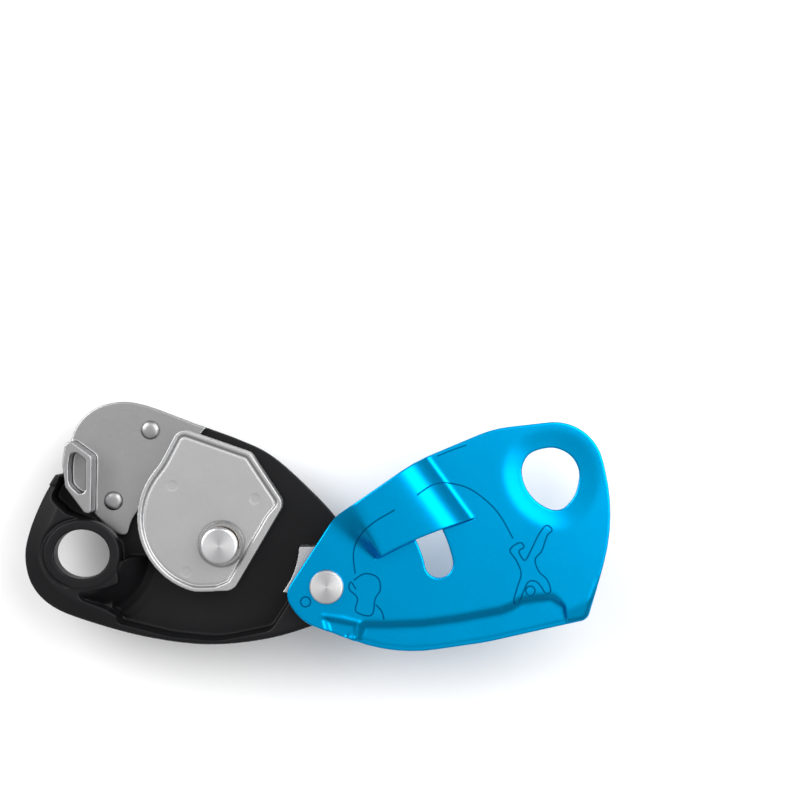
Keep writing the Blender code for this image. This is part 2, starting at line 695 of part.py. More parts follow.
def handle_fittings():
    pad = [(13.3, -4.3, 1.8), (13.3, 4.3, 1.8), (38.7, 3.7, 3.4), (38.7, -3.7, 3.4)]
    prism("handle_grip_pad", lever_outline(pad), 0.0, 0.8, RUBBER)
    cross_pin("handle_hinge_pin", HINGE_PIN_RADIUS, 7.8, STEEL)
    centre = along_lever(-HINGE_RADIUS)
    across = Vector((*polar(1.0, LEVER_ANGLE + 90.0), 0.0))
    out = Vector((*polar(1.0, LEVER_ANGLE), 0.0))
    up = Vector((0.0, 0.0, 1.0))
    line = []
    count = 26
    for k in range(count + 1):
        turn = 2 * pi * 2.2 * k / count
        spot = Vector((*centre, HINGE_Z)) + across * (2.2 * k / count - 1.1)
        spot += out * 2.05 * cos(turn) + up * 2.05 * sin(turn)
        line.append(tuple(spot))
    wire("handle_fold_spring", line, 0.25, SPRING_STEEL)


def anti_panic_clutch():
    start = Vector(polar(*PAWL_PIVOT))
    tip = Vector(polar(*PAWL_TIP))
    way = (tip - start).normalized()
    side = Vector((-way.y, way.x))
    corners = []
    for distance, offset, radius in ((-1.9, -1.8, 1.5), (-1.9, 1.8, 1.5), (8.6, 0.9, 0.5), (8.6, -0.9, 0.5)):
        spot = start + way * distance + side * offset
        corners.append((spot.x, spot.y, radius))
    pawl = prism("anti_panic_pawl", rounded(corners), 9.4, 11.6, STEEL, origin=(start.x, start.y, 0.0))
    boolean(pawl, disc("pawl_bore", 1.1, 5.0, 20.0, tuple(start), group=CUTTERS, steps=16))
    disc("pawl_pin", 0.85, 7.4, 11.7, tuple(start), STEEL, steps=16)
    line = []
    for k in range(13):
        x, y = polar(10.9, 322.0 + 5.5 * k)
        line.append((x, y, 10.3))
    wire("pawl_spring", line, 0.3, SPRING_STEEL)
    coil = helix(5.7, 1.8, 9.75, 11.45, start=40.0)
    wire("release_hub_spring", coil, 0.35, SPRING_STEEL)


# ---------------------------------------------------------------- rear cover and selector


COVER_OUTLINE = [
    (-25.6, -4.0, 8.0),
    (-25.6, -20.6, 5.0),
    (0.0, -27.0, 25.0),
    (21.5, -24.0, 4.5),
    (21.0, 13.0, 8.0),
    (-2.0, 30.2, 8.0),
    (-20.5, 17.0, 14.0),
]
HOUSING_OUTLINE = [
    polar(14.6, 58.0),
    polar(14.6, 68.0),
    polar(14.6, 78.0),
    polar(14.6, 88.0),
    polar(14.6, 98.0),
    (-3.4, 22.6),
    (0.6, 24.4),
    (5.0, 23.6),
    (11.8, 18.6),
]


def rear_cover():
    low, high = COVER_Z
    cover = prism("rear_cover", rounded(COVER_OUTLINE), low, high, NYLON)
    boolean(cover, prism("spring_housing", HOUSING_OUTLINE, 0.0, high - 1.0), "UNION")
    inner = [(x * 0.9, y * 0.9, r * 0.8) for x, y, r in COVER_OUTLINE]
    rooms = prism("cover_hollow", rounded(inner), low + 1.8, high + 5.0, group=CUTTERS)
    for name, spot in COVER_SCREWS:
        boolean(rooms, disc(name + "_boss", 3.6, low - 3.0, high + 9.0, spot, group=CUTTERS, steps=20))
    boolean(rooms, disc("knob_boss", 4.2, low - 3.0, high + 9.0, KNOB, group=CUTTERS, steps=24))
    boolean(cover, rooms)
    boolean(cover, disc("hub_window", 13.1, -2.0, 20.0, group=CUTTERS, steps=40))
    arms = []
    for k in range(9):
        arms.append(polar(21.0, LEVER_ANGLE + 180.0 - 40.0 + 140.0 * k / 8))
    for k in range(9):
        arms.append(polar(8.0, LEVER_ANGLE + 180.0 + 100.0 - 140.0 * k / 8))
    boolean(cover, prism("arm_sweep", arms, -2.0, 20.0, group=CUTTERS))
    bores(cover, "hole", COVER_SCREWS, COVER_SCREW_RADIUS + FACE_GAP, -2.0, 20.0)
    bores(cover, "counterbore", COVER_SCREWS, 2.6, -2.0, low + 2.0)
    boolean(cover, disc("knob_stem_hole", STEM_RADIUS + FACE_GAP, -2.0, 20.0, KNOB, group=CUTTERS))
    return cover


def cover_screws():
    low = COVER_Z[0] + 0.1
    for name, spot in COVER_SCREWS:
        profile = [(0.0, 13.8), (COVER_SCREW_RADIUS, 13.8), (COVER_SCREW_RADIUS, low + 1.6)]
        profile += [(2.3, low + 1.6), (2.3, low), (0.0, low)]
        turned(name, profile, spot, STEEL, steps=16)


def mode_selector():
    """Knob on a short stem, with a lock button that is pressed in to free it."""
    profile = [(0.0, 13.4), (STEM_RADIUS, 13.4), (STEM_RADIUS, 5.9), (KNOB_RADIUS, 5.9), (KNOB_RADIUS, 0.8)]
    profile += [(KNOB_RADIUS - 0.8, 0.0), (2.3, 0.0), (2.3, 5.0), (1.3, 5.0), (1.3, 9.0), (0.0, 9.0)]
    knob = turned("mode_selector_knob", profile, KNOB, GREY_NYLON, steps=24)
    x, y = KNOB
    groove = [(x - 0.9, y + 3.4), (x + 0.9, y + 3.4), (x + 0.9, y + 9.0), (x - 0.9, y + 9.0)]
    boolean(knob, prism("knob_pointer_groove", groove, -2.0, 3.1, group=CUTTERS))
    disc("selector_lock_button", 2.0, 0.2, 3.4, KNOB, NYLON, steps=24)
    line = []
    for x, y, z in helix(0.8, 4.0, 3.7, 8.6, per_turn=8):
        line.append((x + KNOB[0], y + KNOB[1], z))
    wire("lock_button_spring", line, 0.15, SPRING_STEEL)


stationary_side_plate()
rope_guide_plate()
guide_rivets()
friction_block()
friction_block_screws()
cam()
cam_pins()
axle_retaining_ring()
moving_side_plate()
side_plate_pivot()
release_hub()
handle_lever()
handle_fittings()
anti_panic_clutch()
rear_cover()
cover_screws()
mode_selector()
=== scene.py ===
"""Looks of the assisted-braking belay device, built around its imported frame."""

import json
from math import acos, atan2, cos, pi, radians, sin, tan

import bmesh
import bpy
import numpy as np
from mathutils import Matrix, Vector

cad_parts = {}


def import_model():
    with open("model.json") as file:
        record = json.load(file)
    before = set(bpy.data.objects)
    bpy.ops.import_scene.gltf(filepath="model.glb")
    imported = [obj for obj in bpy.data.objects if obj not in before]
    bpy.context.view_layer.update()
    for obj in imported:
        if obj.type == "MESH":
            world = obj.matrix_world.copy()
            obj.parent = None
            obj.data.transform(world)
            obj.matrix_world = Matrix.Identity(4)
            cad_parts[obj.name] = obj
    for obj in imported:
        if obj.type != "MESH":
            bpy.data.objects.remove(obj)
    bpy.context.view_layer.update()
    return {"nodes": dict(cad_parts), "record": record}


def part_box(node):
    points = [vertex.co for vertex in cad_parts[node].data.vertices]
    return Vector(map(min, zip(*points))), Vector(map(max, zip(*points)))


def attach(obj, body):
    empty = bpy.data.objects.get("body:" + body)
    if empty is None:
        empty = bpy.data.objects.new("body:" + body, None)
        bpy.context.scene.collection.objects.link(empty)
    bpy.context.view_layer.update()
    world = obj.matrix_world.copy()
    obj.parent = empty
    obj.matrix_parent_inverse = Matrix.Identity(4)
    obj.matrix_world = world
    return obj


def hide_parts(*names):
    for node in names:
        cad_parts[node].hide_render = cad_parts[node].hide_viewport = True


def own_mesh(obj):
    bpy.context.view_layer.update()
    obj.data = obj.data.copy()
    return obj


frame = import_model()

MM = 0.001


def middle(node):
    """The middle of a CAD node's box."""
    low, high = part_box(node)
    return (low + high) / 2


AXLE = middle("cam_axle")
PIVOT_WORLD = middle("side_plate_rivet")
PIVOT = ((PIVOT_WORLD.x - AXLE.x) / MM, (PIVOT_WORLD.y - AXLE.y) / MM)
KNOB_WORLD = middle("mode_selector_knob")
KNOB = ((KNOB_WORLD.x - AXLE.x) / MM, (KNOB_WORLD.y - AXLE.y) / MM)


def level(node, top):
    """A node's highest or lowest level, in millimetres."""
    low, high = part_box(node)
    return (high.z if top else low.z) / MM


PLATE_T = 2.2
FLOOR_T = 2.6
EYE_LAND_RISE = 0.3
CAM_BACK = level("cam", False)
CAM_TOP = level("cam", True)
FLOOR_BACK = level("stationary_side_plate", False)
FLOOR_TOP = FLOOR_BACK + FLOOR_T
PIVOT_LAND = level("stationary_side_plate", True)
HOOD_TOP = level("moving_side_plate", True)
HOOD_RISE = 5.0
PLATE_TOP = HOOD_TOP - HOOD_RISE
PLATE_BACK = PLATE_TOP - PLATE_T
RAIL_DROP = PLATE_BACK - level("moving_side_plate", False)
HEAD_TOP = level("cam_axle", True)
RIVET_TOP = level("side_plate_rivet", True)
GUIDE_BASE = level("rope_guide_plate", False)
FINGER_TOP = level("rope_guide_plate", True)
WALL_TOP = CAM_TOP
EYE_LAND = WALL_TOP + EYE_LAND_RISE
RECESS_FLOOR = 20.0
UNDERSIDE_ROOF = 18.8
EYE = (-38.0, -2.7)
MOVING_EYE = (89.5, 18.5)
SLOT_RADIUS = (PIVOT[0] ** 2 + PIVOT[1] ** 2) ** 0.5
PIVOT_BORE = 2.8

# Cutters begin and end clear of the piece that they cut.
PLATE_CUT = (0.0, 50.0)
CUT_LOW, CUT_HIGH = 5.0, 40.0
BACK_CUT = (-2.0, 20.0)


# ---------------------------------------------------------------- lines and outlines


def polar(radius, angle, centre=(0.0, 0.0)):
    turn = radians(angle)
    return (centre[0] + radius * cos(turn), centre[1] + radius * sin(turn))


def arc(radius, first, sweep, steps, centre=(0.0, 0.0)):
    return [polar(radius, first + sweep * k / steps, centre) for k in range(steps + 1)]


def smooth_line(points, per_span=8, closed=True):
    """A line that runs smoothly through its points; a third value of 0 keeps a point sharp."""
    line = []
    count = len(points)
    spans = count if closed else count - 1
    for i in range(spans):
        if closed:
            four = [points[(i + k) % count] for k in (-1, 0, 1, 2)]
        else:
            four = [points[min(max(i + k, 0), count - 1)] for k in (-1, 0, 1, 2)]
        a, b, c, d = (Vector(p[:2]) for p in four)
        leave = Vector((0.0, 0.0)) if len(four[1]) == 3 else (c - a) / 2
        arrive = Vector((0.0, 0.0)) if len(four[2]) == 3 else (d - b) / 2
        for k in range(per_span):
            t = k / per_span
            spot = b * (2 * t**3 - 3 * t**2 + 1) + c * (3 * t**2 - 2 * t**3)
            spot += leave * (t**3 - 2 * t**2 + t) + arrive * (t**3 - t**2)
            line.append((spot.x, spot.y))
    if not closed:
        line.append(tuple(points[-1][:2]))
    return line


def rounded(corners, per_turn=72):
    """Corners as (x, y, radius) made into a closed line with an arc at each corner."""
    line = []
    count = len(corners)
    for i, (x, y, radius) in enumerate(corners):
        here = Vector((x, y))
        before = Vector(corners[i - 1][:2]) - here
        after = Vector(corners[(i + 1) % count][:2]) - here
        room = min(before.length, after.length) * 0.49
        before.normalize()
        after.normalize()
        if radius <= 0.0:
            line.append((x, y))
            continue
        opening = acos(max(-1.0, min(1.0, before.dot(after))))
        reach = min(room, radius / tan(opening / 2))
        radius = reach * tan(opening / 2)
        start = here + before * reach
        end = here + after * reach
        centre = here + (before + after).normalized() * radius / sin(opening / 2)
        first = atan2(start.y - centre.y, start.x - centre.x)
        sweep = atan2(end.y - centre.y, end.x - centre.x) - first
        sweep = (sweep + pi) % (2 * pi) - pi
        steps = max(1, round(abs(sweep) / (2 * pi) * per_turn))
        for k in range(steps + 1):
            a = first + sweep * k / steps
            line.append((centre.x + radius * cos(a), centre.y + radius * sin(a)))
    return line


def oval(centre, half_width, half_height, steps=72):
    line = []
    for k in range(steps):
        a = 2 * pi * k / steps
        line.append((centre[0] + half_width * cos(a), centre[1] + half_height * sin(a)))
    return line


def arc_band(radius, half_width, first, last, centre=(0.0, 0.0), steps=20, end_steps=12):
    """A slot that curves about a centre from one angle to another, with round ends."""
    line = arc(radius + half_width, first, last - first, steps, centre)
    line += arc(half_width, last, 180.0, end_steps, polar(radius, last, centre))[1:-1]
    line += arc(radius - half_width, last, first - last, steps, centre)
    line += arc(half_width, first + 180.0, 180.0, end_steps, polar(radius, first, centre))[1:-1]
    return line


TRAY_OUTLINE = [
    (-45.3, 18.8, 0), (-49.0, 12.4), (-52.6, 3.6), (-53.9, -3.8), (-52.0, -11.4), (-46.4, -17.2),
    (-36.6, -21.2), (-20.6, -25.4), (-3.5, -27.4), (12.7, -25.8), (26.5, -21.7), (35.8, -17.6),
    (39.1, -10.6), (36.8, -2.2), (30.7, 6.9), (23.1, 15.0), (13.2, 23.7), (3.7, 28.4),
    (-12.5, 34.2), (-20.6, 37.2), (-29.0, 38.2), (-37.2, 35.0), (-41.2, 29.4), (-42.2, 22.0),
]
POCKET_OUTLINE = [
    (-46.8, 12.6, 1.6), (-42.4, 8.4, 2.0), (-36.6, 6.2, 2.0), (-28.6, -0.4, 3.0), (-28.0, -12.0, 2.0),
    (-28.6, -21.6, 1.5), (-14.0, -25.2, 25.0), (-1.0, -26.5, 25.0), (13.6, -23.4, 4.0), (19.6, -14.0, 4.0),
    (24.6, -1.5, 7.0), (31.0, 2.4, 2.5), (36.0, 6.0, 1.0), (14.0, 32.0, 1.0), (-28.0, 50.0, 1.0),
    (-55.0, 40.0, 1.0), (-49.0, 24.0, 1.0), (-44.0, 18.2, 1.0),
]
EYE_SLOPE_OUTLINE = [
    (-26.0, -4.0, 1.0), (-40.0, -13.4, 1.0), (-38.4, -15.0, 2.0), (-31.6, -17.6, 6.0), (-27.4, -20.6, 2.0),
    (-14.0, -24.8, 1.0), (-14.0, -4.0, 1.0),
]
EYE_UNDERSIDE = [
    (-60.0, 8.0, 1.0), (-60.0, -30.0, 1.0), (-31.0, -30.0, 1.0), (-30.4, -8.0, 3.0), (-36.6, 3.0, 3.0),
    (-43.0, 6.2, 3.0), (-50.0, 7.6, 1.0),
]
EYE_RECESS_OUTLINE = [
    (-24.0, -9.0, 1.0), (-31.4, -12.0, 3.0), (-39.4, -13.4, 2.0), (-38.0, -15.2, 1.0), (-31.6, -17.6, 8.0),
    (-26.0, -21.2, 6.0), (-20.0, -23.2, 1.0), (-20.0, -9.0, 1.0),
]
DEEP_RECESS_OUTLINE = [(-20.0, -9.0), (-30.4, -11.6), (-30.4, -17.9), (-26.0, -21.0), (-20.0, -23.0)]
EYE_SLOPE_STEPS = [(11.2, 25.2), (12.8, 23.2), (14.4, 21.2), (15.8, 19.2), (17.2, 16.9), (19.5, 15.5)]
RIM_STATIONS = [-54.0, -34.0, -14.0, 12.0, 40.0]
RIM_WIDTHS = [5.4, 4.4, 1.9, 1.3, 1.2]
RIM_FALL = 0.52
GUIDE_T = 1.6
GUIDE_OUTLINE = [
    (-43.4, 21.6), (-42.7, 27.0), (-40.2, 33.0), (-35.2, 37.2), (-28.4, 38.8), (-21.6, 37.8),
    (-12.3, 34.4, 0), (-5.0, 31.6, 0), (-16.0, 18.0), (-24.6, 7.4), (-27.0, 2.2), (-31.0, 3.0),
    (-37.0, 9.0), (-41.8, 15.8),
]
FINGER_OUTLINE = [
    (-43.4, 22.0, 6.0), (-42.4, 29.2, 1.6), (-35.2, 23.9, 1.6), (-35.5, 8.2, 1.0), (-37.4, 8.6, 1.0),
    (-42.6, 15.6, 2.0),
]
FINGER_POCKET = [
    (-41.7, 21.0, 4.0), (-41.0, 26.2, 1.4), (-37.0, 22.9, 1.4), (-37.1, 12.2, 1.4), (-41.5, 16.2, 3.0),
]
CAM_CORNERS = [(-11.6, 31.7, 3.2), (7.9, 24.9, 3.0), (17.1, 11.0, 3.4), (3.3, -12.6, 3.6)]
CAM_FLANK_CENTRE = (-2.3, 7.0)
CAM_FLANK_RADIUS = 20.7
CAM_DIMPLES = ((-13.4, 15.9), (9.1, 12.3), (-9.6, -7.6))
FACE_SINK = 0.55
BEAD_GROOVE_DEPTH = 0.12
COUNTERBORE_DEPTH = 0.35
DIMPLE_DEPTH = 0.05
PLATE_OUTLINE = [
    (17.2, -13.4, 5.0), (31.0, 7.8, 14.0), (52.1, 22.4, 40.0), (74.0, 31.6, 30.0), (100.6, 34.6, 13.5),
    (107.3, 8.0, 60.0), (99.6, -20.2, 3.0), (72.0, -26.4, 40.0), (47.0, -30.0, 45.0), (22.0, -20.6, 12.0),
]
MOVING_EYE_SHAPE = [
    (10.0, 7.8), (45.0, 7.85), (80.0, 7.85), (113.0, 8.0), (138.0, 8.45), (165.0, 8.1), (195.0, 7.4),
    (225.0, 7.35), (250.0, 7.9), (270.0, 8.75), (286.0, 9.2), (302.0, 8.8), (330.0, 8.0),
]
SHEAR = ((42.2, -3.5), (68.9, 7.3))
SHEAR_BOW = 0.95
SHEAR_HALF_CUT = 0.32
SHEAR_HAIRLINE = 0.03
SHEAR_REACH = 3.0
LOW_FOLD = ((33.5, 3.5), (42.4, -3.6))
TOP_FOLD = ((37.4, 9.8), (43.3, -2.1))
RAIL_LEDGE = [
    (38.6, -25.0), (39.6, -22.6), (45.0, -22.7), (54.9, -22.3), (64.7, -21.0), (76.1, -18.9), (79.4, -17.7),
    (81.9, -16.1), (89.6, -15.0), (92.6, -16.8), (93.5, -20.1), (93.8, -40.0), (36.0, -40.0),
]
RAIL_STATIONS = [36.0, 86.0, 92.0, 94.0]
RAIL_WIDTHS = [2.4, 2.4, 1.6, 0.5]
RAIL_SLACK = 0.15
RAIL_END = 93.7
RAIL_END_FOLD = ((104.0, -13.0), (93.6, -17.6))
RAIL_END_DROP = 0.9
LIP_START = [(28.6, -19.9), (36.4, -21.4), (36.6, -24.6), (30.0, -26.0)]
LIP_START_DROP = 1.0
LIP_RIDGE = [(27.6, -19.2), (33.0, -20.0), (38.8, -21.6), (38.4, -20.9), (33.0, -19.5), (27.6, -18.8)]
LIP_RIDGE_RISE = 0.25
EYE_DISH = 0.7
EDGE_ROLL = 0.8


# ---------------------------------------------------------------- solids


def world(x, y, z):
    """A point given in millimetres about the cam axle, in the frame's metres."""
    return Vector((AXLE.x + x * MM, AXLE.y + y * MM, z * MM))


def mesh_object(name, mesh):
    item = bpy.data.objects.new(name, mesh)
    bpy.context.scene.collection.objects.link(item)
    return item


def evaluated(item):
    """The evaluated object as a plain mesh object, without its modifiers or its helpers."""
    bpy.context.view_layer.update()
    graph = bpy.context.evaluated_depsgraph_get()
    mesh = bpy.data.meshes.new_from_object(item.evaluated_get(graph))
    helpers = [m.object for m in item.modifiers if m.type == "BOOLEAN"]
    name = item.name
    for other in [item, *helpers]:
        if other is not None:
            bpy.data.objects.remove(other, do_unlink=True)
    return mesh_object(name, mesh)


def prism(name, outline, low, high):
    """An outline made solid between two levels."""
    curve = bpy.data.curves.new(name, "CURVE")
    curve.dimensions = "2D"
    curve.fill_mode = "BOTH"
    curve.extrude = (high - low) / 2 * MM
    spline = curve.splines.new("POLY")
    spline.points.add(len(outline) - 1)
    for point, (x, y) in zip(spline.points, outline):
        point.co = (x * MM, y * MM, 0.0, 1.0)
    spline.use_cyclic_u = True
    item = evaluated(mesh_object(name, curve))
    item.data.transform(Matrix.Translation(world(0.0, 0.0, (low + high) / 2)))
    welded = bmesh.new()
    welded.from_mesh(item.data)
    bmesh.ops.remove_doubles(welded, verts=welded.verts, dist=0.000002)
    bmesh.ops.recalc_face_normals(welded, faces=welded.faces)
    welded.to_mesh(item.data)
    welded.free()
    return item


def turned(name, profile, centre=(0.0, 0.0), steps=96):
    """A profile of (radius, z), from its top down its outer side, turned about +Z."""
    mesh = bpy.data.meshes.new(name)
    edges = [(i, i + 1) for i in range(len(profile) - 1)]
    if profile[0][0] > 0.0 or profile[-1][0] > 0.0:
        edges.append((len(profile) - 1, 0))
    mesh.from_pydata([(r * MM, 0.0, z * MM) for r, z in profile], edges, [])
    item = mesh_object(name, mesh)
    screw = item.modifiers.new("turn", "SCREW")
    screw.angle = 2 * pi
    screw.steps = steps
    screw.render_steps = steps
    screw.use_merge_vertices = True
    screw.merge_threshold = 0.000001
    item = evaluated(item)
    item.data.transform(Matrix.Translation(world(centre[0], centre[1], 0.0)))
    return item


def disc(name, radius, low, high, centre=(0.0, 0.0), steps=64):
    return turned(name, [(0.0, high), (radius, high), (radius, low), (0.0, low)], centre, steps)


def boolean(item, other, operation="DIFFERENCE"):
    step = item.modifiers.new(other.name, "BOOLEAN")
    step.operation = operation
    step.solver = "EXACT"
    step.object = other
    return item


def cast(item, voxel, rounding):
    """Turns a sharp-edged solid into a fine, evenly meshed one with rounded edges."""
    remesh = item.modifiers.new("fine_skin", "REMESH")
    remesh.mode = "VOXEL"
    remesh.voxel_size = voxel * MM
    remesh.use_smooth_shade = True
    soften = item.modifiers.new("soften", "SMOOTH")
    soften.factor = 0.5
    soften.iterations = rounding
    return evaluated(item)


def points_of(item):
    flat = np.empty(len(item.data.vertices) * 3)
    item.data.vertices.foreach_get("co", flat)
    flat = flat.reshape(-1, 3)
    return (flat - np.array([AXLE.x, AXLE.y, 0.0])) / MM


def set_points(item, points):
    flat = points * MM + np.array([AXLE.x, AXLE.y, 0.0])
    item.data.vertices.foreach_set("co", flat.reshape(-1))
    item.data.update()


def shade(item, angle=30.0):
    item.data.shade_smooth()
    item.data.set_sharp_from_angle(angle=radians(angle))
    return item


def show(item, body, look, replaces=()):
    """Dresses a piece and lets it ride on its body."""
    item.data.materials.clear()
    item.data.materials.append(look)
    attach(item, body)
    if replaces:
        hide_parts(*replaces)
    return item


# ---------------------------------------------------------------- distances


def to_line(points, a, b):
    """Signed distance of points from the line a-b, positive on its left."""
    a, b = np.array(a), np.array(b)
    along = (b - a) / np.linalg.norm(b - a)
    return along[0] * (points[:, 1] - a[1]) - along[1] * (points[:, 0] - a[0])


def to_polygon(points, polygon):
    """Signed distance of points from a closed line, negative inside it."""
    ring = np.array(polygon)
    after = np.roll(ring, -1, 0)
    best = np.full(len(points), 1e9)
    inside = np.zeros(len(points), bool)
    x, y = points[:, 0], points[:, 1]
    for a, b in zip(ring, after):
        way = b - a
        t = np.clip(((x - a[0]) * way[0] + (y - a[1]) * way[1]) / max(way @ way, 1e-12), 0, 1)
        best = np.minimum(best, np.hypot(x - a[0] - t * way[0], y - a[1] - t * way[1]))
        if a[1] != b[1]:
            crosses = ((a[1] > y) != (b[1] > y)) & (x < way[0] * (y - a[1]) / (b[1] - a[1]) + a[0])
            inside ^= crosses
    return np.where(inside, -best, best)


def ramp(value, start, end, soft, soft_end=None):
    """0 before start, 1 after end, straight between, with each fold rounded over its own length."""
    def eased(v, length):
        return length * np.logaddexp(0.0, v / length)
    return (eased(value - start, soft) - eased(value - end, soft_end or soft)) / (end - start)


def shear_offset(points):
    """Signed distance from the hood's sheared edge, a shallow bow; positive on the hood's side."""
    a, b = np.array(SHEAR[0]), np.array(SHEAR[1])
    span = b - a
    t = np.clip(((points - a) @ span) / (span @ span), 0.0, 1.0)
    return to_line(points, a, b) - 4.0 * SHEAR_BOW * t * (1.0 - t)


def shear_curve(offset, steps=24):
    """Points along the sheared edge, moved sideways by an offset."""
    a, b = Vector(SHEAR[0]), Vector(SHEAR[1])
    way = (b - a).normalized()
    side = Vector((-way.y, way.x))
    line = []
    for k in range(steps + 1):
        t = k / steps
        spot = a.lerp(b, t) + side * (4.0 * SHEAR_BOW * t * (1.0 - t) + offset)
        line.append((spot.x, spot.y))
    return line


# ---------------------------------------------------------------- materials


def new_material(name, colour, roughness, metallic):
    made = bpy.data.materials.new(name)
    made.use_nodes = True
    shader = made.node_tree.nodes["Principled BSDF"]
    shader.inputs["Base Color"].default_value = (*colour, 1.0)
    shader.inputs["Roughness"].default_value = roughness
    shader.inputs["Metallic"].default_value = metallic
    return made, made.node_tree, shader


def noise(tree, scale, detail):
    where = tree.nodes.new("ShaderNodeTexCoord")
    texture = tree.nodes.new("ShaderNodeTexNoise")
    texture.inputs["Scale"].default_value = scale
    texture.inputs["Detail"].default_value = detail
    tree.links.new(where.outputs["Object"], texture.inputs["Vector"])
    return texture


def spread(tree, source, low, high, socket):
    """Lets a texture move one of the shader's values between two numbers."""
    step = tree.nodes.new("ShaderNodeMapRange")
    step.inputs["From Min"].default_value = 0.3
    step.inputs["From Max"].default_value = 0.7
    step.inputs["To Min"].default_value = low
    step.inputs["To Max"].default_value = high
    tree.links.new(source, step.inputs["Value"])
    tree.links.new(step.outputs["Result"], socket)


def tint(tree, shader, source, first, second):
    mix = tree.nodes.new("ShaderNodeMix")
    mix.data_type = "RGBA"
    mix.inputs["A"].default_value = (*first, 1.0)
    mix.inputs["B"].default_value = (*second, 1.0)
    tree.links.new(source, mix.inputs["Factor"])
    tree.links.new(mix.outputs["Result"], shader.inputs["Base Color"])


def bump(tree, shader, source, strength, distance):
    step = tree.nodes.new("ShaderNodeBump")
    step.inputs["Strength"].default_value = strength
    step.inputs["Distance"].default_value = distance * MM
    tree.links.new(source, step.inputs["Height"])
    tree.links.new(step.outputs["Normal"], shader.inputs["Normal"])


def metal(name, dark, light, roughness, grain, depth=0.02, metallic=1.0):
    made, tree, shader = new_material(name, light, sum(roughness) / 2, metallic)
    cloud = noise(tree, 90.0, 3.0)
    tint(tree, shader, cloud.outputs["Fac"], dark, light)
    fine = noise(tree, grain, 3.0)
    spread(tree, fine.outputs["Fac"], *roughness, shader.inputs["Roughness"])
    bump(tree, shader, fine.outputs["Fac"], 0.35, depth)
    return made


def turned_steel_painted_sheen(name, centre, dark, light):
    """Steel faced on a lathe: fine rings about its centre as a bump, and a painted sheen, the base colour
    lighter and darker in two lobes about the centre in place of the rings' reflection.
    """
    made, tree, shader = new_material(name, light, 0.3, 1.0)
    where = tree.nodes.new("ShaderNodeTexCoord")
    move = tree.nodes.new("ShaderNodeVectorMath")
    move.operation = "SUBTRACT"
    move.inputs[1].default_value = centre
    tree.links.new(where.outputs["Object"], move.inputs[0])
    split = tree.nodes.new("ShaderNodeSeparateXYZ")
    tree.links.new(move.outputs["Vector"], split.inputs["Vector"])
    angle = tree.nodes.new("ShaderNodeMath")
    angle.operation = "ARCTAN2"
    tree.links.new(split.outputs["Y"], angle.inputs[0])
    tree.links.new(split.outputs["X"], angle.inputs[1])
    double = tree.nodes.new("ShaderNodeMath")
    double.operation = "MULTIPLY"
    double.inputs[1].default_value = 2.0
    tree.links.new(angle.outputs["Value"], double.inputs[0])
    wave = tree.nodes.new("ShaderNodeMath")
    wave.operation = "COSINE"
    tree.links.new(double.outputs["Value"], wave.inputs[0])
    span = tree.nodes.new("ShaderNodeMapRange")
    span.inputs["From Min"].default_value = -1.0
    span.inputs["From Max"].default_value = 1.0
    tree.links.new(wave.outputs["Value"], span.inputs["Value"])
    # Painted sheen: the base colour runs from dark to light twice round the centre, standing in for the
    # turned rings' reflection.
    tint(tree, shader, span.outputs["Result"], dark, light)
    rings = tree.nodes.new("ShaderNodeTexWave")
    rings.wave_type = "RINGS"
    rings.rings_direction = "Z"
    rings.inputs["Scale"].default_value = 900.0
    rings.inputs["Distortion"].default_value = 0.6
    tree.links.new(move.outputs["Vector"], rings.inputs["Vector"])
    bump(tree, shader, rings.outputs["Fac"], 0.25, 0.02)
    return made


def plastic(name, dark, light, roughness, grain, depth):
    made, tree, shader = new_material(name, light, roughness, 0.0)
    fine = noise(tree, grain, 5.0)
    tint(tree, shader, fine.outputs["Fac"], dark, light)
    spread(tree, fine.outputs["Fac"], roughness - 0.06, roughness + 0.08, shader.inputs["Roughness"])
    bump(tree, shader, fine.outputs["Fac"], 0.5, depth)
    return made


def anodised_black():
    dark, light = (0.006, 0.006, 0.007), (0.011, 0.011, 0.012)
    made = metal("black_anodised", dark, light, (0.3, 0.42), 2600.0, metallic=0.0)
    made.node_tree.nodes["Principled BSDF"].inputs["Specular IOR Level"].default_value = 0.16
    return made


BLUE = metal("blue_anodised", (0.0, 0.30, 0.62), (0.0, 0.34, 0.69), (0.27, 0.35), 3200.0, depth=0.012)
# Mark colour: the engraved drawings, and also the painted shade of the ring round the dimple.
BLUE_MARK_AND_PAINTED_SHADE = metal("blue_laser_mark_and_painted_shade", (0.0, 0.075, 0.19), (0.0, 0.10, 0.24), (0.45, 0.6), 3200.0)
BLACK = anodised_black()
STAINLESS = metal("cast_stainless", (0.42, 0.42, 0.42), (0.49, 0.49, 0.49), (0.34, 0.44), 2400.0)
GUIDE_STEEL = metal(
    "pressed_stainless", (0.32, 0.32, 0.325), (0.39, 0.39, 0.395), (0.3, 0.38), 2000.0, depth=0.012
)
STEEL = metal("plain_steel", (0.5, 0.5, 0.51), (0.6, 0.6, 0.61), (0.25, 0.36), 1800.0)
SPRING = metal("spring_wire", (0.3, 0.3, 0.31), (0.42, 0.42, 0.43), (0.22, 0.34), 1500.0)
BRONZE = metal("sintered_bronze", (0.42, 0.27, 0.12), (0.55, 0.37, 0.18), (0.4, 0.55), 1500.0)
NYLON = plastic("black_nylon", (0.018, 0.018, 0.02), (0.03, 0.03, 0.032), 0.48, 1800.0, 0.03)
GREY_NYLON = plastic("grey_nylon", (0.28, 0.29, 0.3), (0.35, 0.36, 0.37), 0.45, 1800.0, 0.03)
RUBBER = plastic("grip_rubber", (0.014, 0.014, 0.015), (0.024, 0.024, 0.026), 0.75, 900.0, 0.06)


# ---------------------------------------------------------------- moving side plate


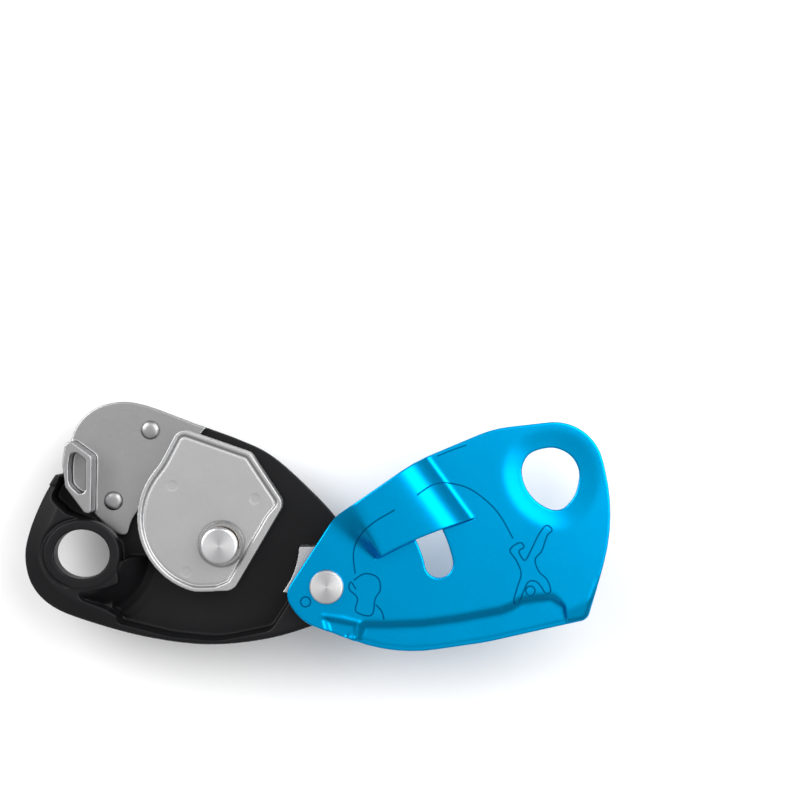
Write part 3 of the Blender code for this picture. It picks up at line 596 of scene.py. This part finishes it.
def moving_eye():
    return smooth_line([polar(radius, angle, MOVING_EYE) for angle, radius in MOVING_EYE_SHAPE])


def within(points, outline, start, end, soft, soft_end=None):
    """1 inside an outline and 0 outside it, sloping between two distances from its edge."""
    return 1.0 - ramp(to_polygon(points, outline), start, end, soft, soft_end)


def hood_height(points):
    """The hood: up from its left folds, level along its top, and down again at its right end."""
    low_fold = to_line(points, *LOW_FOLD)
    top_fold = to_line(points, *TOP_FOLD)
    share = low_fold / np.maximum(low_fold - top_fold, 0.2)
    left = ramp(share, 0.0, 1.0, 0.1)
    across = 0.808 * points[:, 0] + 0.589 * points[:, 1]
    right = 1.0 - ramp(across, 54.0, 59.5, 1.5, 0.3)
    return np.where(shear_offset(points) > 0.0, HOOD_RISE * left * right, 0.0)


def plate_height(points):
    """How far the pressed plate stands above its flat, at points about the cam axle."""
    x, y = points[:, 0], points[:, 1]
    rise = hood_height(points)
    ledge = to_polygon(points, RAIL_LEDGE) / np.interp(x, RAIL_STATIONS, RAIL_WIDTHS)
    rise -= RAIL_DROP * (1.0 - ramp(ledge, 0.05, 1.0, 0.1))
    rise -= LIP_START_DROP * within(points, LIP_START, -0.6, 0.7, 0.2)
    rise += LIP_RIDGE_RISE * within(points, LIP_RIDGE, -0.3, 0.7, 0.15)
    curl = ramp(to_line(points, *RAIL_END_FOLD), 0.0, 3.6, 0.3)
    rise -= np.where(x > RAIL_END, RAIL_END_DROP * curl, 0.0)
    rise -= EYE_DISH * within(points, moving_eye(), 0.4, 5.0, 0.7, 0.5)
    edge = -to_polygon(points, rounded(PLATE_OUTLINE, 40))
    rolled = np.clip((-8.0 - y) / 8.0, 0.0, 1.0) * (x > 34.0)
    rise -= EDGE_ROLL * rolled * (1.0 - ramp(edge, 0.0, 1.3, 0.15))
    return np.maximum(rise, -(RAIL_DROP + RAIL_SLACK))


def close_shear(points):
    """Draws the two sides of the shear cut together until only a hairline is left between them."""
    a, b = np.array(SHEAR[0]), np.array(SHEAR[1])
    length = np.linalg.norm(b - a)
    along = (points[:, :2] - a) @ (b - a) / length
    beyond = np.maximum(np.maximum(-along, along - length), 0.0)
    offset = shear_offset(points[:, :2])
    apart = np.abs(offset)
    drawn = np.interp(apart, [0.0, SHEAR_HALF_CUT, SHEAR_REACH], [0.0, SHEAR_HAIRLINE, SHEAR_REACH])
    move = np.where(apart < SHEAR_REACH, drawn - apart, 0.0)
    move *= np.sign(offset) * np.clip(1.0 - beyond, 0.0, 1.0)
    normal = np.array([a[1] - b[1], b[0] - a[0]]) / length
    points[:, :2] += move[:, None] * normal
    return points


def side_plate():
    plate = prism("cover_side_plate", rounded(PLATE_OUTLINE), PLATE_BACK, PLATE_TOP)
    shear = shear_curve(-SHEAR_HALF_CUT) + shear_curve(SHEAR_HALF_CUT)[::-1]
    boolean(plate, prism("shear_cut", shear, *PLATE_CUT))
    slot = prism("axle_slot", arc_band(SLOT_RADIUS, 3.8, 11.4, 30.0, PIVOT), *PLATE_CUT)
    hood_side = prism("hood_side", shear_curve(0.1) + [(70.0, 40.0), (40.0, 40.0)], -1.0, 51.0)
    boolean(plate, evaluated(boolean(slot, hood_side)))
    boolean(plate, prism("carabiner_eye", moving_eye(), *PLATE_CUT))
    boolean(plate, disc("pivot_hole", PIVOT_BORE, *PLATE_CUT, PIVOT))
    plate = cast(plate, 0.26, 2)
    points = close_shear(points_of(plate))
    points[:, 2] += plate_height(points[:, :2])
    set_points(plate, points)
    return show(plate, "cover_plate", BLUE, ["moving_side_plate"])


def ribbon(name, line, width):
    """A fine dark line that follows the pressed plate, sunk a little into it: an engraved mark, or the
    painted shade round the dimple.
    """
    spacing, sunk, proud = 0.35, -0.05, 0.02
    line = np.array(line)
    steps = np.hypot(*np.diff(line, axis=0).T)
    where = np.concatenate([[0], np.cumsum(steps)])
    count = max(2, int(where[-1] / spacing))
    at = np.linspace(0, where[-1], count + 1)
    line = np.column_stack([np.interp(at, where, line[:, 0]), np.interp(at, where, line[:, 1])])
    way = np.gradient(line, axis=0)
    way /= np.maximum(np.hypot(way[:, 0], way[:, 1]), 1e-9)[:, None]
    side = np.column_stack([-way[:, 1], way[:, 0]]) * width / 2
    made = bmesh.new()
    rows = []
    height = plate_height(line)
    for k in range(len(line)):
        row = []
        for sign, lift in ((1.0, sunk), (1.0, proud), (-1.0, proud), (-1.0, sunk)):
            x, y = line[k] + side[k] * sign
            row.append(made.verts.new(world(x, y, PLATE_TOP + height[k] + lift)))
        rows.append(row)
    for first, second in zip(rows, rows[1:]):
        for i in range(4):
            made.faces.new((first[i], first[(i + 1) % 4], second[(i + 1) % 4], second[i]))
    made.faces.new(rows[0])
    made.faces.new(rows[-1][::-1])
    bmesh.ops.recalc_face_normals(made, faces=made.faces)
    mesh = bpy.data.meshes.new(name)
    made.to_mesh(mesh)
    made.free()
    return show(mesh_object(name, mesh), "cover_plate", BLUE_MARK_AND_PAINTED_SHADE)


CLIMBER = [
    (89.8, 4.2), (88.4, 2.6), (87.0, -1.4), (85.2, -3.8), (86.2, -7.0), (88.4, -9.2), (89.4, -12.2),
    (88.0, -12.8), (86.6, -10.8), (85.2, -9.6), (83.4, -9.8), (82.2, -12.0), (80.6, -15.6), (79.4, -15.0),
    (80.4, -11.2), (81.4, -7.6), (80.2, -4.2), (78.4, -1.2), (81.0, 0.8), (82.2, -0.4), (80.8, -1.6),
    (82.4, -4.0), (84.0, -1.4), (86.2, 3.0), (88.2, 5.4),
]
BRAKE_HAND = [
    (36.2, -9.4), (39.2, -7.6), (42.6, -8.6), (43.4, -11.8), (42.0, -14.4), (41.0, -18.8), (36.8, -17.8),
    (37.2, -14.2), (35.0, -11.8), (35.4, -9.8), (36.8, -11.8),
]


ROPE_TO_BRAKE = [(36.6, -7.6), (36.1, -2.7), (37.1, 1.2), (40.7, 5.8), (47.3, 9.9)]
ROPE_TO_CLIMBER = [
    (53.2, 13.8), (57.1, 16.3), (61.3, 16.9), (66.9, 15.6), (71.8, 12.3), (75.7, 8.1), (79.2, 1.9),
]
ROPE_TAIL = [(42.2, -16.0), (43.7, -17.7), (44.4, -20.0)]
EDGE_LINE = [(58.7, 24.1), (62.6, 25.7), (66.6, 27.1)]


def engravings():
    """Rope path, brake hand and climber, as plain line drawings."""
    wide, narrow = 0.42, 0.3
    ribbon("engraved_rope_brake", smooth_line(ROPE_TO_BRAKE, closed=False), wide)
    ribbon("engraved_rope_climber", smooth_line(ROPE_TO_CLIMBER, closed=False), wide)
    ribbon("engraved_tail", smooth_line(ROPE_TAIL, closed=False), wide)
    ribbon("engraved_hand", smooth_line(BRAKE_HAND, closed=False), wide)
    ribbon("engraved_climber", smooth_line(CLIMBER) + CLIMBER[:1], wide)
    ribbon("engraved_climber_head", arc(1.25, 90.0, 360.0, 24, (83.9, -12.2)), wide)
    ribbon("engraved_edge_line", smooth_line(EDGE_LINE, closed=False), narrow)
    # Painted shade: a dark ring in the mark colour round the small dimple, in place of the shade in its
    # rim; the plate has no dimple pressed in.
    ribbon("dimple_painted_shade_ring", arc(1.35, 0.0, 360.0, 24, (23.2, -15.2)), wide)


side_plate()
engravings()


# ---------------------------------------------------------------- stationary side plate


def eye_slope():
    """The slope that runs down from the eye's ring to the tray's floor."""
    crest, foot = EYE_LAND - EYE_LAND_RISE, FLOOR_TOP - 1.0
    profile = [(0.0, crest), (10.0, crest), *EYE_SLOPE_STEPS]
    profile += [(22.0, FLOOR_TOP + 0.05), (22.0, foot), (0.0, foot)]
    reach = prism("slope_reach", rounded(EYE_SLOPE_OUTLINE), *PLATE_CUT)
    return evaluated(boolean(turned("eye_slope", profile, EYE), reach, "INTERSECT"))


def ring_groove():
    """The groove round the eye's ring."""
    groove = prism("ring_groove", oval((EYE[0] - 0.4, EYE[1] + 0.2), 11.2, 9.9), 25.3, CUT_HIGH)
    kept = prism("ring_kept", oval(EYE, 10.3, 9.2), RECESS_FLOOR, CUT_HIGH + 1.0)
    return evaluated(boolean(groove, kept))


def slope_rim(tray):
    """Makes the tray's rim fall away towards its outer edge."""
    points = points_of(tray)
    x, y = points[:, 0], points[:, 1]
    edge = -to_polygon(points[:, :2], smooth_line(TRAY_OUTLINE, 4))
    width = np.interp(x, RIM_STATIONS, RIM_WIDTHS)
    outer = (y < 16.0) & (x < 36.0)
    drop = RIM_FALL * width * (1.0 - ramp(edge / width, 0.0, 1.0, 0.06))
    from_pivot = np.hypot(x - PIVOT[0], y - PIVOT[1])
    drop *= np.clip((points[:, 2] - (WALL_TOP - 3.2)) / 2.6, 0.0, 1.0) * np.clip(from_pivot - 9.4, 0.0, 1.0)
    points[:, 2] -= np.where(outer, drop, 0.0)
    set_points(tray, points)


def stationary_plate():
    tray = prism("tray_side_plate", smooth_line(TRAY_OUTLINE), FLOOR_BACK, WALL_TOP)
    boolean(tray, prism("tray_pocket", rounded(POCKET_OUTLINE), FLOOR_TOP, CUT_HIGH))
    boolean(tray, prism("eye_recess", rounded(EYE_RECESS_OUTLINE), RECESS_FLOOR, CUT_HIGH))
    boolean(tray, prism("deep_recess", DEEP_RECESS_OUTLINE, FLOOR_TOP, CUT_HIGH))
    boolean(tray, eye_slope(), "UNION")
    boolean(tray, ring_groove())
    boolean(tray, prism("eye_land", oval(EYE, 10.4, 9.3), RECESS_FLOOR, EYE_LAND), "UNION")
    boolean(tray, disc("pivot_boss", 9.2, RECESS_FLOOR, PIVOT_LAND, PIVOT), "UNION")
    seat = arc(20.85, -38.3, 36.6, 16) + [(27.35, -0.35), (25.55, -6.4), (20.75, -13.95)]
    boolean(tray, prism("block_seat", seat, FLOOR_TOP, CUT_HIGH))
    boolean(tray, prism("eye_underside", rounded(EYE_UNDERSIDE), CUT_LOW, UNDERSIDE_ROOF))
    boolean(tray, prism("eye_hole", oval(EYE, 7.6, 6.7), CUT_LOW, CUT_HIGH))
    boolean(tray, disc("axle_bore", 3.5, CUT_LOW, RECESS_FLOOR))
    boolean(tray, prism("drive_pin_slot", arc_band(10.3, 1.9, 151.0, 184.0), CUT_LOW, RECESS_FLOOR))
    boolean(tray, disc("pivot_bore", PIVOT_BORE, CUT_LOW, CUT_HIGH, PIVOT))
    tray = cast(tray, 0.3, 3)
    slope_rim(tray)
    return show(tray, "frame", BLACK, ["stationary_side_plate"])


def rope_guide():
    guide = prism("guide_plate", smooth_line(GUIDE_OUTLINE), GUIDE_BASE, GUIDE_BASE + GUIDE_T)
    boolean(guide, prism("finger", rounded(FINGER_OUTLINE), GUIDE_BASE + 0.4, FINGER_TOP), "UNION")
    boolean(guide, prism("finger_pocket", rounded(FINGER_POCKET), FINGER_TOP - 6.5, CUT_HIGH))
    guide = cast(guide, 0.22, 3)
    return show(guide, "frame", GUIDE_STEEL, ["rope_guide_plate"])


def guide_rivets():
    for node in ("guide_rivet_upper", "guide_rivet_lower"):
        spot = middle(node) - AXLE
        top, low = level(node, True), level(node, False)
        profile = [(0.0, top), (1.0, top - 0.03), (1.8, top - 0.16), (2.35, top - 0.4), (2.6, top - 0.7)]
        profile += [(1.5, top - 0.7), (1.5, low + 0.6), (2.4, low + 0.6), (2.4, low + 0.2), (2.1, low)]
        profile += [(0.0, low)]
        item = shade(turned(node + "_fine", profile, (spot.x / MM, spot.y / MM), 64), 40.0)
        show(item, "frame", GUIDE_STEEL, [node])


stationary_plate()
rope_guide()
guide_rivets()


# ---------------------------------------------------------------- cam, axle and rivets


def cam_outline():
    """Four drawn corners, joined by an even curve round the rope side."""
    corners = list(CAM_CORNERS)
    for k in range(11):
        corners.append((*polar(CAM_FLANK_RADIUS, 256.0 - 12.2 * k, CAM_FLANK_CENTRE), 30.0))
    return rounded(corners)


def cam_face_sink(points, outline):
    """How far the cam's face lies below the bead round it."""
    flat = points[:, :2]
    edge = -to_polygon(flat, outline)
    flank = to_line(flat, CAM_CORNERS[3][:2], CAM_CORNERS[2][:2])
    wide = np.clip((4.6 - flank) / 2.0, 0.0, 1.0) * np.clip((12.0 - points[:, 1]) / 4.0, 0.0, 1.0)
    start = 1.0 + 1.1 * wide
    fall = ramp(edge - start, 0.0, 0.55, 0.07)
    groove = np.exp(-(((edge - start - 0.75) / 0.28) ** 2)) * BEAD_GROOVE_DEPTH
    counterbore = 1.0 - ramp(np.hypot(points[:, 0], points[:, 1]), 5.9, 6.3, 0.06)
    sink = FACE_SINK * fall + groove * (1.0 - counterbore) + COUNTERBORE_DEPTH * counterbore * fall
    for mark in CAM_DIMPLES:
        around = np.hypot(points[:, 0] - mark[0], points[:, 1] - mark[1])
        sink += DIMPLE_DEPTH * (1.0 - ramp(around, 1.2, 1.5, 0.06))
    return sink * np.clip((points[:, 2] - (CAM_TOP - 2.4)) / 1.8, 0.0, 1.0)


def rope_cam():
    outline = cam_outline()
    body = prism("rope_cam", outline, CAM_BACK, CAM_TOP)
    boolean(body, disc("bush_bore", 4.7, CUT_LOW, CUT_HIGH))
    boolean(body, disc("spring_pocket", 8.4, CUT_LOW, CAM_BACK + 3.9))
    body = cast(body, 0.22, 2)
    points = points_of(body)
    points[:, 2] -= cam_face_sink(points, outline)
    set_points(body, points)
    return show(body, "rope_cam", STAINLESS, ["cam"])


def headed(name, node, centre, top, profile):
    """A turned fastener of the frame, with its head faced on a lathe."""
    # The head's steel carries a painted sheen, light and dark lobes in its base colour about the centre.
    steel = turned_steel_painted_sheen(name + "_turned_painted_sheen", tuple(world(*centre, top)), (0.5, 0.5, 0.51), (0.78, 0.78, 0.79))
    return show(shade(turned(name, profile, centre), 25.0), "frame", steel, [node])


def axle_and_rivet():
    top = HEAD_TOP
    under, end = top - 2.2, 6.5
    ring_low, ring_high = 6.8, 7.8
    profile = [(0.0, top), (4.2, top - 0.02), (4.6, top - 0.08), (4.88, top - 0.26), (5.0, top - 0.6)]
    profile += [(5.0, under + 0.1), (4.9, under), (3.2, under), (3.2, ring_high), (2.6, ring_high)]
    profile += [(2.6, ring_low), (3.2, ring_low), (3.2, 6.7), (3.0, end), (0.0, end)]
    headed("cam_axle_head", "cam_axle", (0.0, 0.0), top, profile)
    top = RIVET_TOP
    under, low = top - 1.5, level("side_plate_rivet", False)
    profile = [(0.0, top), (3.9, top - 0.02), (4.3, top - 0.1), (4.55, top - 0.3), (4.65, top - 0.6)]
    profile += [(4.65, under + 0.1), (4.5, under), (2.5, under), (2.5, low + 1.5), (4.1, low + 1.5)]
    profile += [(4.2, low + 1.3), (4.2, low + 0.4), (3.8, low), (0.0, low)]
    headed("side_plate_pivot_rivet", "side_plate_rivet", PIVOT, top, profile)


rope_cam()
axle_and_rivet()


# ---------------------------------------------------------------- handle, cover and selector on the back


LEVER_ANGLE = 138.7
HINGE_RADIUS = 15.0
HINGE_Z = 3.6
HUB_HIGH = level("release_hub", True)
COVER_LOW, COVER_HIGH = 6.2, level("rear_cover", True)
COVER_OUTLINE = [
    (-25.6, -4.0, 8.0), (-25.6, -20.6, 5.0), (0.0, -27.0, 25.0), (21.5, -24.0, 4.5), (21.0, 13.0, 8.0),
    (-2.0, 30.2, 8.0), (-20.5, 17.0, 14.0),
]
COVER_SCREWS = ((-20.0, -16.4), (16.4, -19.2), (-8.0, 20.6))
BLOCK_SCREWS = ((24.2, -2.4), (19.6, -12.4))


def along_lever(distance, side=0.0):
    x, y = polar(distance, LEVER_ANGLE)
    dx, dy = polar(side, LEVER_ANGLE + 90.0)
    return (x + dx, y + dy)


def lever_line(corners):
    return rounded([(*along_lever(d, s), r) for d, s, r in corners])


def cross_bore(name):
    """A round cutter across the lever, on the fold hinge's axis."""
    made = disc(name, 1.75, -14.0, 14.0, steps=40)
    made.data.transform(Matrix.Translation(-world(0.0, 0.0, 0.0)))
    axis = Vector((*polar(1.0, LEVER_ANGLE + 90.0), 0.0))
    made.data.transform(Vector((0.0, 0.0, 1.0)).rotation_difference(axis).to_matrix().to_4x4())
    made.data.transform(Matrix.Translation(world(*along_lever(-HINGE_RADIUS), HINGE_Z)))
    return made


def fine_hub():
    low, high = 6.4, HUB_HIGH
    profile = [(3.45, high), (4.6, high), (4.6, 9.0), (11.9, 9.0), (11.9, high), (12.6, high)]
    hub = turned("release_hub_body", [*profile, (12.6, low), (5.2, low), (5.2, 7.9), (3.45, 7.9)])
    reach = lever_line([(-9.0, -8.0, 0.5), (-9.0, 8.0, 0.5), (-18.4, 8.0, 2.2), (-18.4, -8.0, 2.2)])
    arms = prism("hub_arms", reach, 1.2, 8.5)
    gap = lever_line([(-6.0, -5.0, 0.0), (-6.0, 5.0, 0.0), (-24.0, 5.0, 0.0), (-24.0, -5.0, 0.0)])
    boolean(arms, prism("hub_arm_gap", gap, -2.0, 9.5))
    boolean(hub, evaluated(arms), "UNION")
    boolean(hub, cross_bore("hub_pin_bore"))
    show(cast(hub, 0.2, 2), "release_hub", NYLON, ["release_hub"])


def fine_lever():
    half = [(-17.4, 4.6, 1.5), (-8.0, 4.6, 3.0), (-2.6, 7.2, 4.0), (22.0, 7.4, 30.0), (42.5, 6.2, 5.5)]
    other_half = [(d, -s, r) for d, s, r in reversed(half)]
    lever = prism("handle_lever_body", lever_line(half + other_half), 0.0, 5.8)
    hollow = [(9.0, -5.2, 2.0), (9.0, 5.2, 2.0), (39.5, 4.2, 4.0), (39.5, -4.2, 4.0)]
    boolean(lever, prism("lever_hollow", lever_line(hollow), 2.2, 9.0))
    pad = [(13.0, -4.6, 2.0), (13.0, 4.6, 2.0), (39.0, 4.0, 3.6), (39.0, -4.0, 3.6)]
    boolean(lever, prism("grip_seat", lever_line(pad), -2.0, 1.0))
    boolean(lever, cross_bore("lever_pin_bore"))
    spring_gap = [(-20.0, -1.9, 0.0), (-20.0, 1.9, 0.0), (-12.0, 1.9, 0.0), (-12.0, -1.9, 0.0)]
    boolean(lever, prism("lever_spring_gap", lever_line(spring_gap), 1.4, 9.0))
    show(cast(lever, 0.24, 3), "handle", NYLON, ["handle_lever"])


def grip_pad():
    """Soft pad let into the lever's outer face, ribbed across."""
    outline = [(13.3, -4.3, 1.8), (13.3, 4.3, 1.8), (38.7, 3.7, 3.4), (38.7, -3.7, 3.4)]
    pad = cast(prism("ribbed_grip_pad", lever_line(outline), 0.0, 0.8), 0.15, 2)
    points = points_of(pad)
    way = np.array(polar(1.0, LEVER_ANGLE))
    wave = 0.5 + 0.5 * np.cos(2 * pi * (points[:, :2] @ way) / 1.7)
    inside = np.clip(-to_polygon(points[:, :2], lever_line(outline)) - 0.6, 0.0, 0.5) * 2.0
    points[:, 2] += np.where(points[:, 2] < 0.4, 0.45 * wave * inside, 0.0)
    set_points(pad, points)
    show(pad, "handle", RUBBER, ["handle_grip_pad"])


def fine_cover():
    low, high = COVER_LOW, COVER_HIGH
    cover = prism("rear_cover_shell", rounded(COVER_OUTLINE), low, high)
    housing = [(x, y, 0.6) for x, y in arc(14.6, 58.0, 40.0, 4)]
    housing += [(-3.4, 22.6, 1.2), (0.6, 24.4, 2.0), (5.0, 23.6, 2.0), (11.8, 18.6, 2.0)]
    boolean(cover, prism("spring_housing", rounded(housing), 0.0, high - 1.0), "UNION")
    inner = [(x * 0.9, y * 0.9, r * 0.8) for x, y, r in COVER_OUTLINE]
    rooms = prism("cover_hollow", rounded(inner), low + 1.8, high + 5.0)
    bosses = (low - 3.0, high + 9.0)
    for number, spot in enumerate(COVER_SCREWS):
        boolean(rooms, disc(f"boss_{number}", 3.6, *bosses, spot))
    boolean(rooms, disc("knob_boss", 4.2, *bosses, KNOB))
    boolean(cover, evaluated(rooms))
    boolean(cover, disc("hub_window", 13.1, *BACK_CUT))
    sweep = 140.0
    arms = arc(21.0, LEVER_ANGLE + 140.0, sweep, 24) + arc(8.0, LEVER_ANGLE + 280.0, -sweep, 24)
    boolean(cover, prism("arm_sweep", arms, *BACK_CUT))
    for number, spot in enumerate(COVER_SCREWS):
        boolean(cover, disc(f"hole_{number}", 1.3, *BACK_CUT, spot, 32))
        boolean(cover, disc(f"counterbore_{number}", 2.6, BACK_CUT[0], low + 2.0, spot, 40))
    boolean(cover, disc("knob_stem_hole", 2.5, *BACK_CUT, KNOB, 40))
    show(cast(cover, 0.27, 2), "frame", NYLON, ["rear_cover"])


def fine_knob():
    """Mode selector with a fluted rim and a pointer groove."""
    profile = [(0.0, 13.4), (2.2, 13.4), (2.2, 5.9), (5.8, 5.9), (5.8, 0.8), (5.0, 0.0)]
    profile += [(2.3, 0.0), (2.3, 5.0), (1.3, 5.0), (1.3, 9.0), (0.0, 9.0)]
    knob = turned("selector_knob", profile, KNOB, 144)
    x, y = KNOB
    half, near, far = 0.9, 3.4, 9.0
    groove = [(x - half, y + near), (x + half, y + near), (x + half, y + far), (x - half, y + far)]
    boolean(knob, prism("knob_pointer_groove", groove, -2.0, 3.1))
    knob = cast(knob, 0.14, 2)
    points = points_of(knob)
    radius = np.hypot(points[:, 0] - x, points[:, 1] - y)
    angle = np.arctan2(points[:, 1] - y, points[:, 0] - x)
    flutes, depth = 20, 0.35
    flute = np.clip(np.cos(flutes * angle), 0.0, 1.0) * depth * np.clip(radius - 4.6, 0.0, 1.0)
    flute *= np.clip(5.4 - points[:, 2], 0.0, 1.0)
    keep = 1.0 - flute / np.maximum(radius, 0.1)
    points[:, 0] = x + (points[:, 0] - x) * keep
    points[:, 1] = y + (points[:, 1] - y) * keep
    set_points(knob, points)
    show(knob, "selector", GREY_NYLON, ["mode_selector_knob"])


def fine_block():
    """Hard block with a hollow face that follows the cam's sweep."""
    outline = arc(21.2, -38.0, 36.0, 24) + [(27.0, -0.7), (25.2, -6.4), (20.4, -13.6)]
    low, high = level("friction_block", False), level("friction_block", True)
    block = prism("hard_friction_block", outline, low, high)
    for number, spot in enumerate(BLOCK_SCREWS):
        boolean(block, disc(f"thread_{number}", 1.55, CUT_LOW, 22.0, spot, 40))
    show(cast(block, 0.16, 2), "frame", STEEL, ["friction_block"])


def button_spring():
    """The lock button's spring, as a wire coil of one length that rides on the selector."""
    wire, coil_radius, turns, steps = 0.15, 0.8, 4.0, 96
    curve = bpy.data.curves.new("button_coil", "CURVE")
    curve.dimensions = "3D"
    curve.bevel_depth = wire * MM
    curve.bevel_resolution = 3
    curve.use_fill_caps = True
    low, high = level("lock_button_spring", False) + wire, level("lock_button_spring", True) - wire
    spline = curve.splines.new("POLY")
    spline.points.add(steps)
    for k, point in enumerate(spline.points):
        x, y = polar(coil_radius, 360.0 * turns * k / steps, KNOB)
        point.co = (*world(x, y, low + (high - low) * k / steps), 1.0)
    coil = evaluated(mesh_object("button_coil", curve))
    show(coil, "selector", SPRING, ["lock_button_spring"])
    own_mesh(coil)


fine_hub()
fine_lever()
button_spring()
grip_pad()
fine_cover()
fine_knob()
fine_block()


# ---------------------------------------------------------------- the CAD pieces that stay


LOOKS = {
    "steel": STEEL,
    "stainless": STAINLESS,
    "spring_steel": SPRING,
    "bearing_bronze": BRONZE,
    "black_nylon": NYLON,
    "grey_nylon": GREY_NYLON,
    "grip_rubber": RUBBER,
    "black_anodised": BLACK,
    "blue_anodised": BLUE,
}


def dress_cad_nodes():
    for subpart in frame["record"]["subparts"]:
        item = frame["nodes"][subpart["node"]]
        item.data.materials.clear()
        item.data.materials.append(LOOKS[subpart["material_slot"]])
        soft_edges = item.modifiers.new("soft_edges", "BEVEL")
        soft_edges.width = 0.12 * MM
        soft_edges.segments = 2
        soft_edges.limit_method = "ANGLE"
        soft_edges.angle_limit = radians(40.0)
        shade(item, 30.0)


dress_cad_nodes()


# ---------------------------------------------------------------- floor, light and camera


def stage():
    made, tree, shader = new_material("floor_paper", (0.97, 0.97, 0.97), 0.9, 0.0)
    grain = noise(tree, 60.0, 2.0)
    tint(tree, shader, grain.outputs["Fac"], (0.955, 0.955, 0.955), (0.98, 0.98, 0.98))
    mesh = bpy.data.meshes.new("floor")
    paper = bmesh.new()
    bmesh.ops.create_grid(paper, x_segments=1, y_segments=1, size=6.0)
    paper.to_mesh(mesh)
    paper.free()
    floor = mesh_object("floor", mesh)
    floor.location.z = -0.0002
    floor.data.materials.append(made)


def area(name, place, aim, size, power):
    lamp = bpy.data.lights.new(name, "AREA")
    lamp.shape = "RECTANGLE"
    lamp.size, lamp.size_y = size
    lamp.energy = power
    item = mesh_object(name, lamp)
    item.location = place
    item.rotation_euler = (Vector(aim) - Vector(place)).to_track_quat("-Z", "Y").to_euler()
    return item


def light():
    """A bright ceiling that falls off towards the horizon, and two soft boxes."""
    horizon, ceiling = 0.25, 0.72
    room = bpy.data.worlds.new("studio")
    bpy.context.scene.world = room
    room.use_nodes = True
    tree = room.node_tree
    sky = tree.nodes["Background"]
    where = tree.nodes.new("ShaderNodeTexCoord")
    split = tree.nodes.new("ShaderNodeSeparateXYZ")
    tree.links.new(where.outputs["Generated"], split.inputs["Vector"])
    height = tree.nodes.new("ShaderNodeMapRange")
    height.inputs["From Min"].default_value = 0.05
    height.inputs["From Max"].default_value = 0.9
    height.inputs["To Min"].default_value = horizon
    height.inputs["To Max"].default_value = ceiling
    tree.links.new(split.outputs["Z"], height.inputs["Value"])
    tree.links.new(height.outputs["Result"], sky.inputs["Strength"])
    sky.inputs["Color"].default_value = (1.0, 1.0, 1.0, 1.0)
    area("key_softbox", (0.42, 0.26, 0.62), (0.02, 0.0, 0.0), (0.7, 0.7), 4.6)
    area("fill_softbox", (-0.5, 0.34, 0.55), (-0.02, 0.0, 0.0), (0.5, 0.5), 3.4)


def camera():
    """Straight down on the open device, which lies low and left in the frame."""
    height, field, sensor = 0.55, 0.216, 36.0
    aim = (48.7, 39.3)
    lens = bpy.data.cameras.new("camera")
    lens.sensor_width = sensor
    lens.lens = sensor * height / field
    item = mesh_object("camera", lens)
    item.location = world(*aim, PLATE_TOP) + Vector((0.0, 0.0, height))
    bpy.context.scene.camera = item


stage()
light()
camera()
bpy.context.scene.view_settings.view_transform = "Standard"
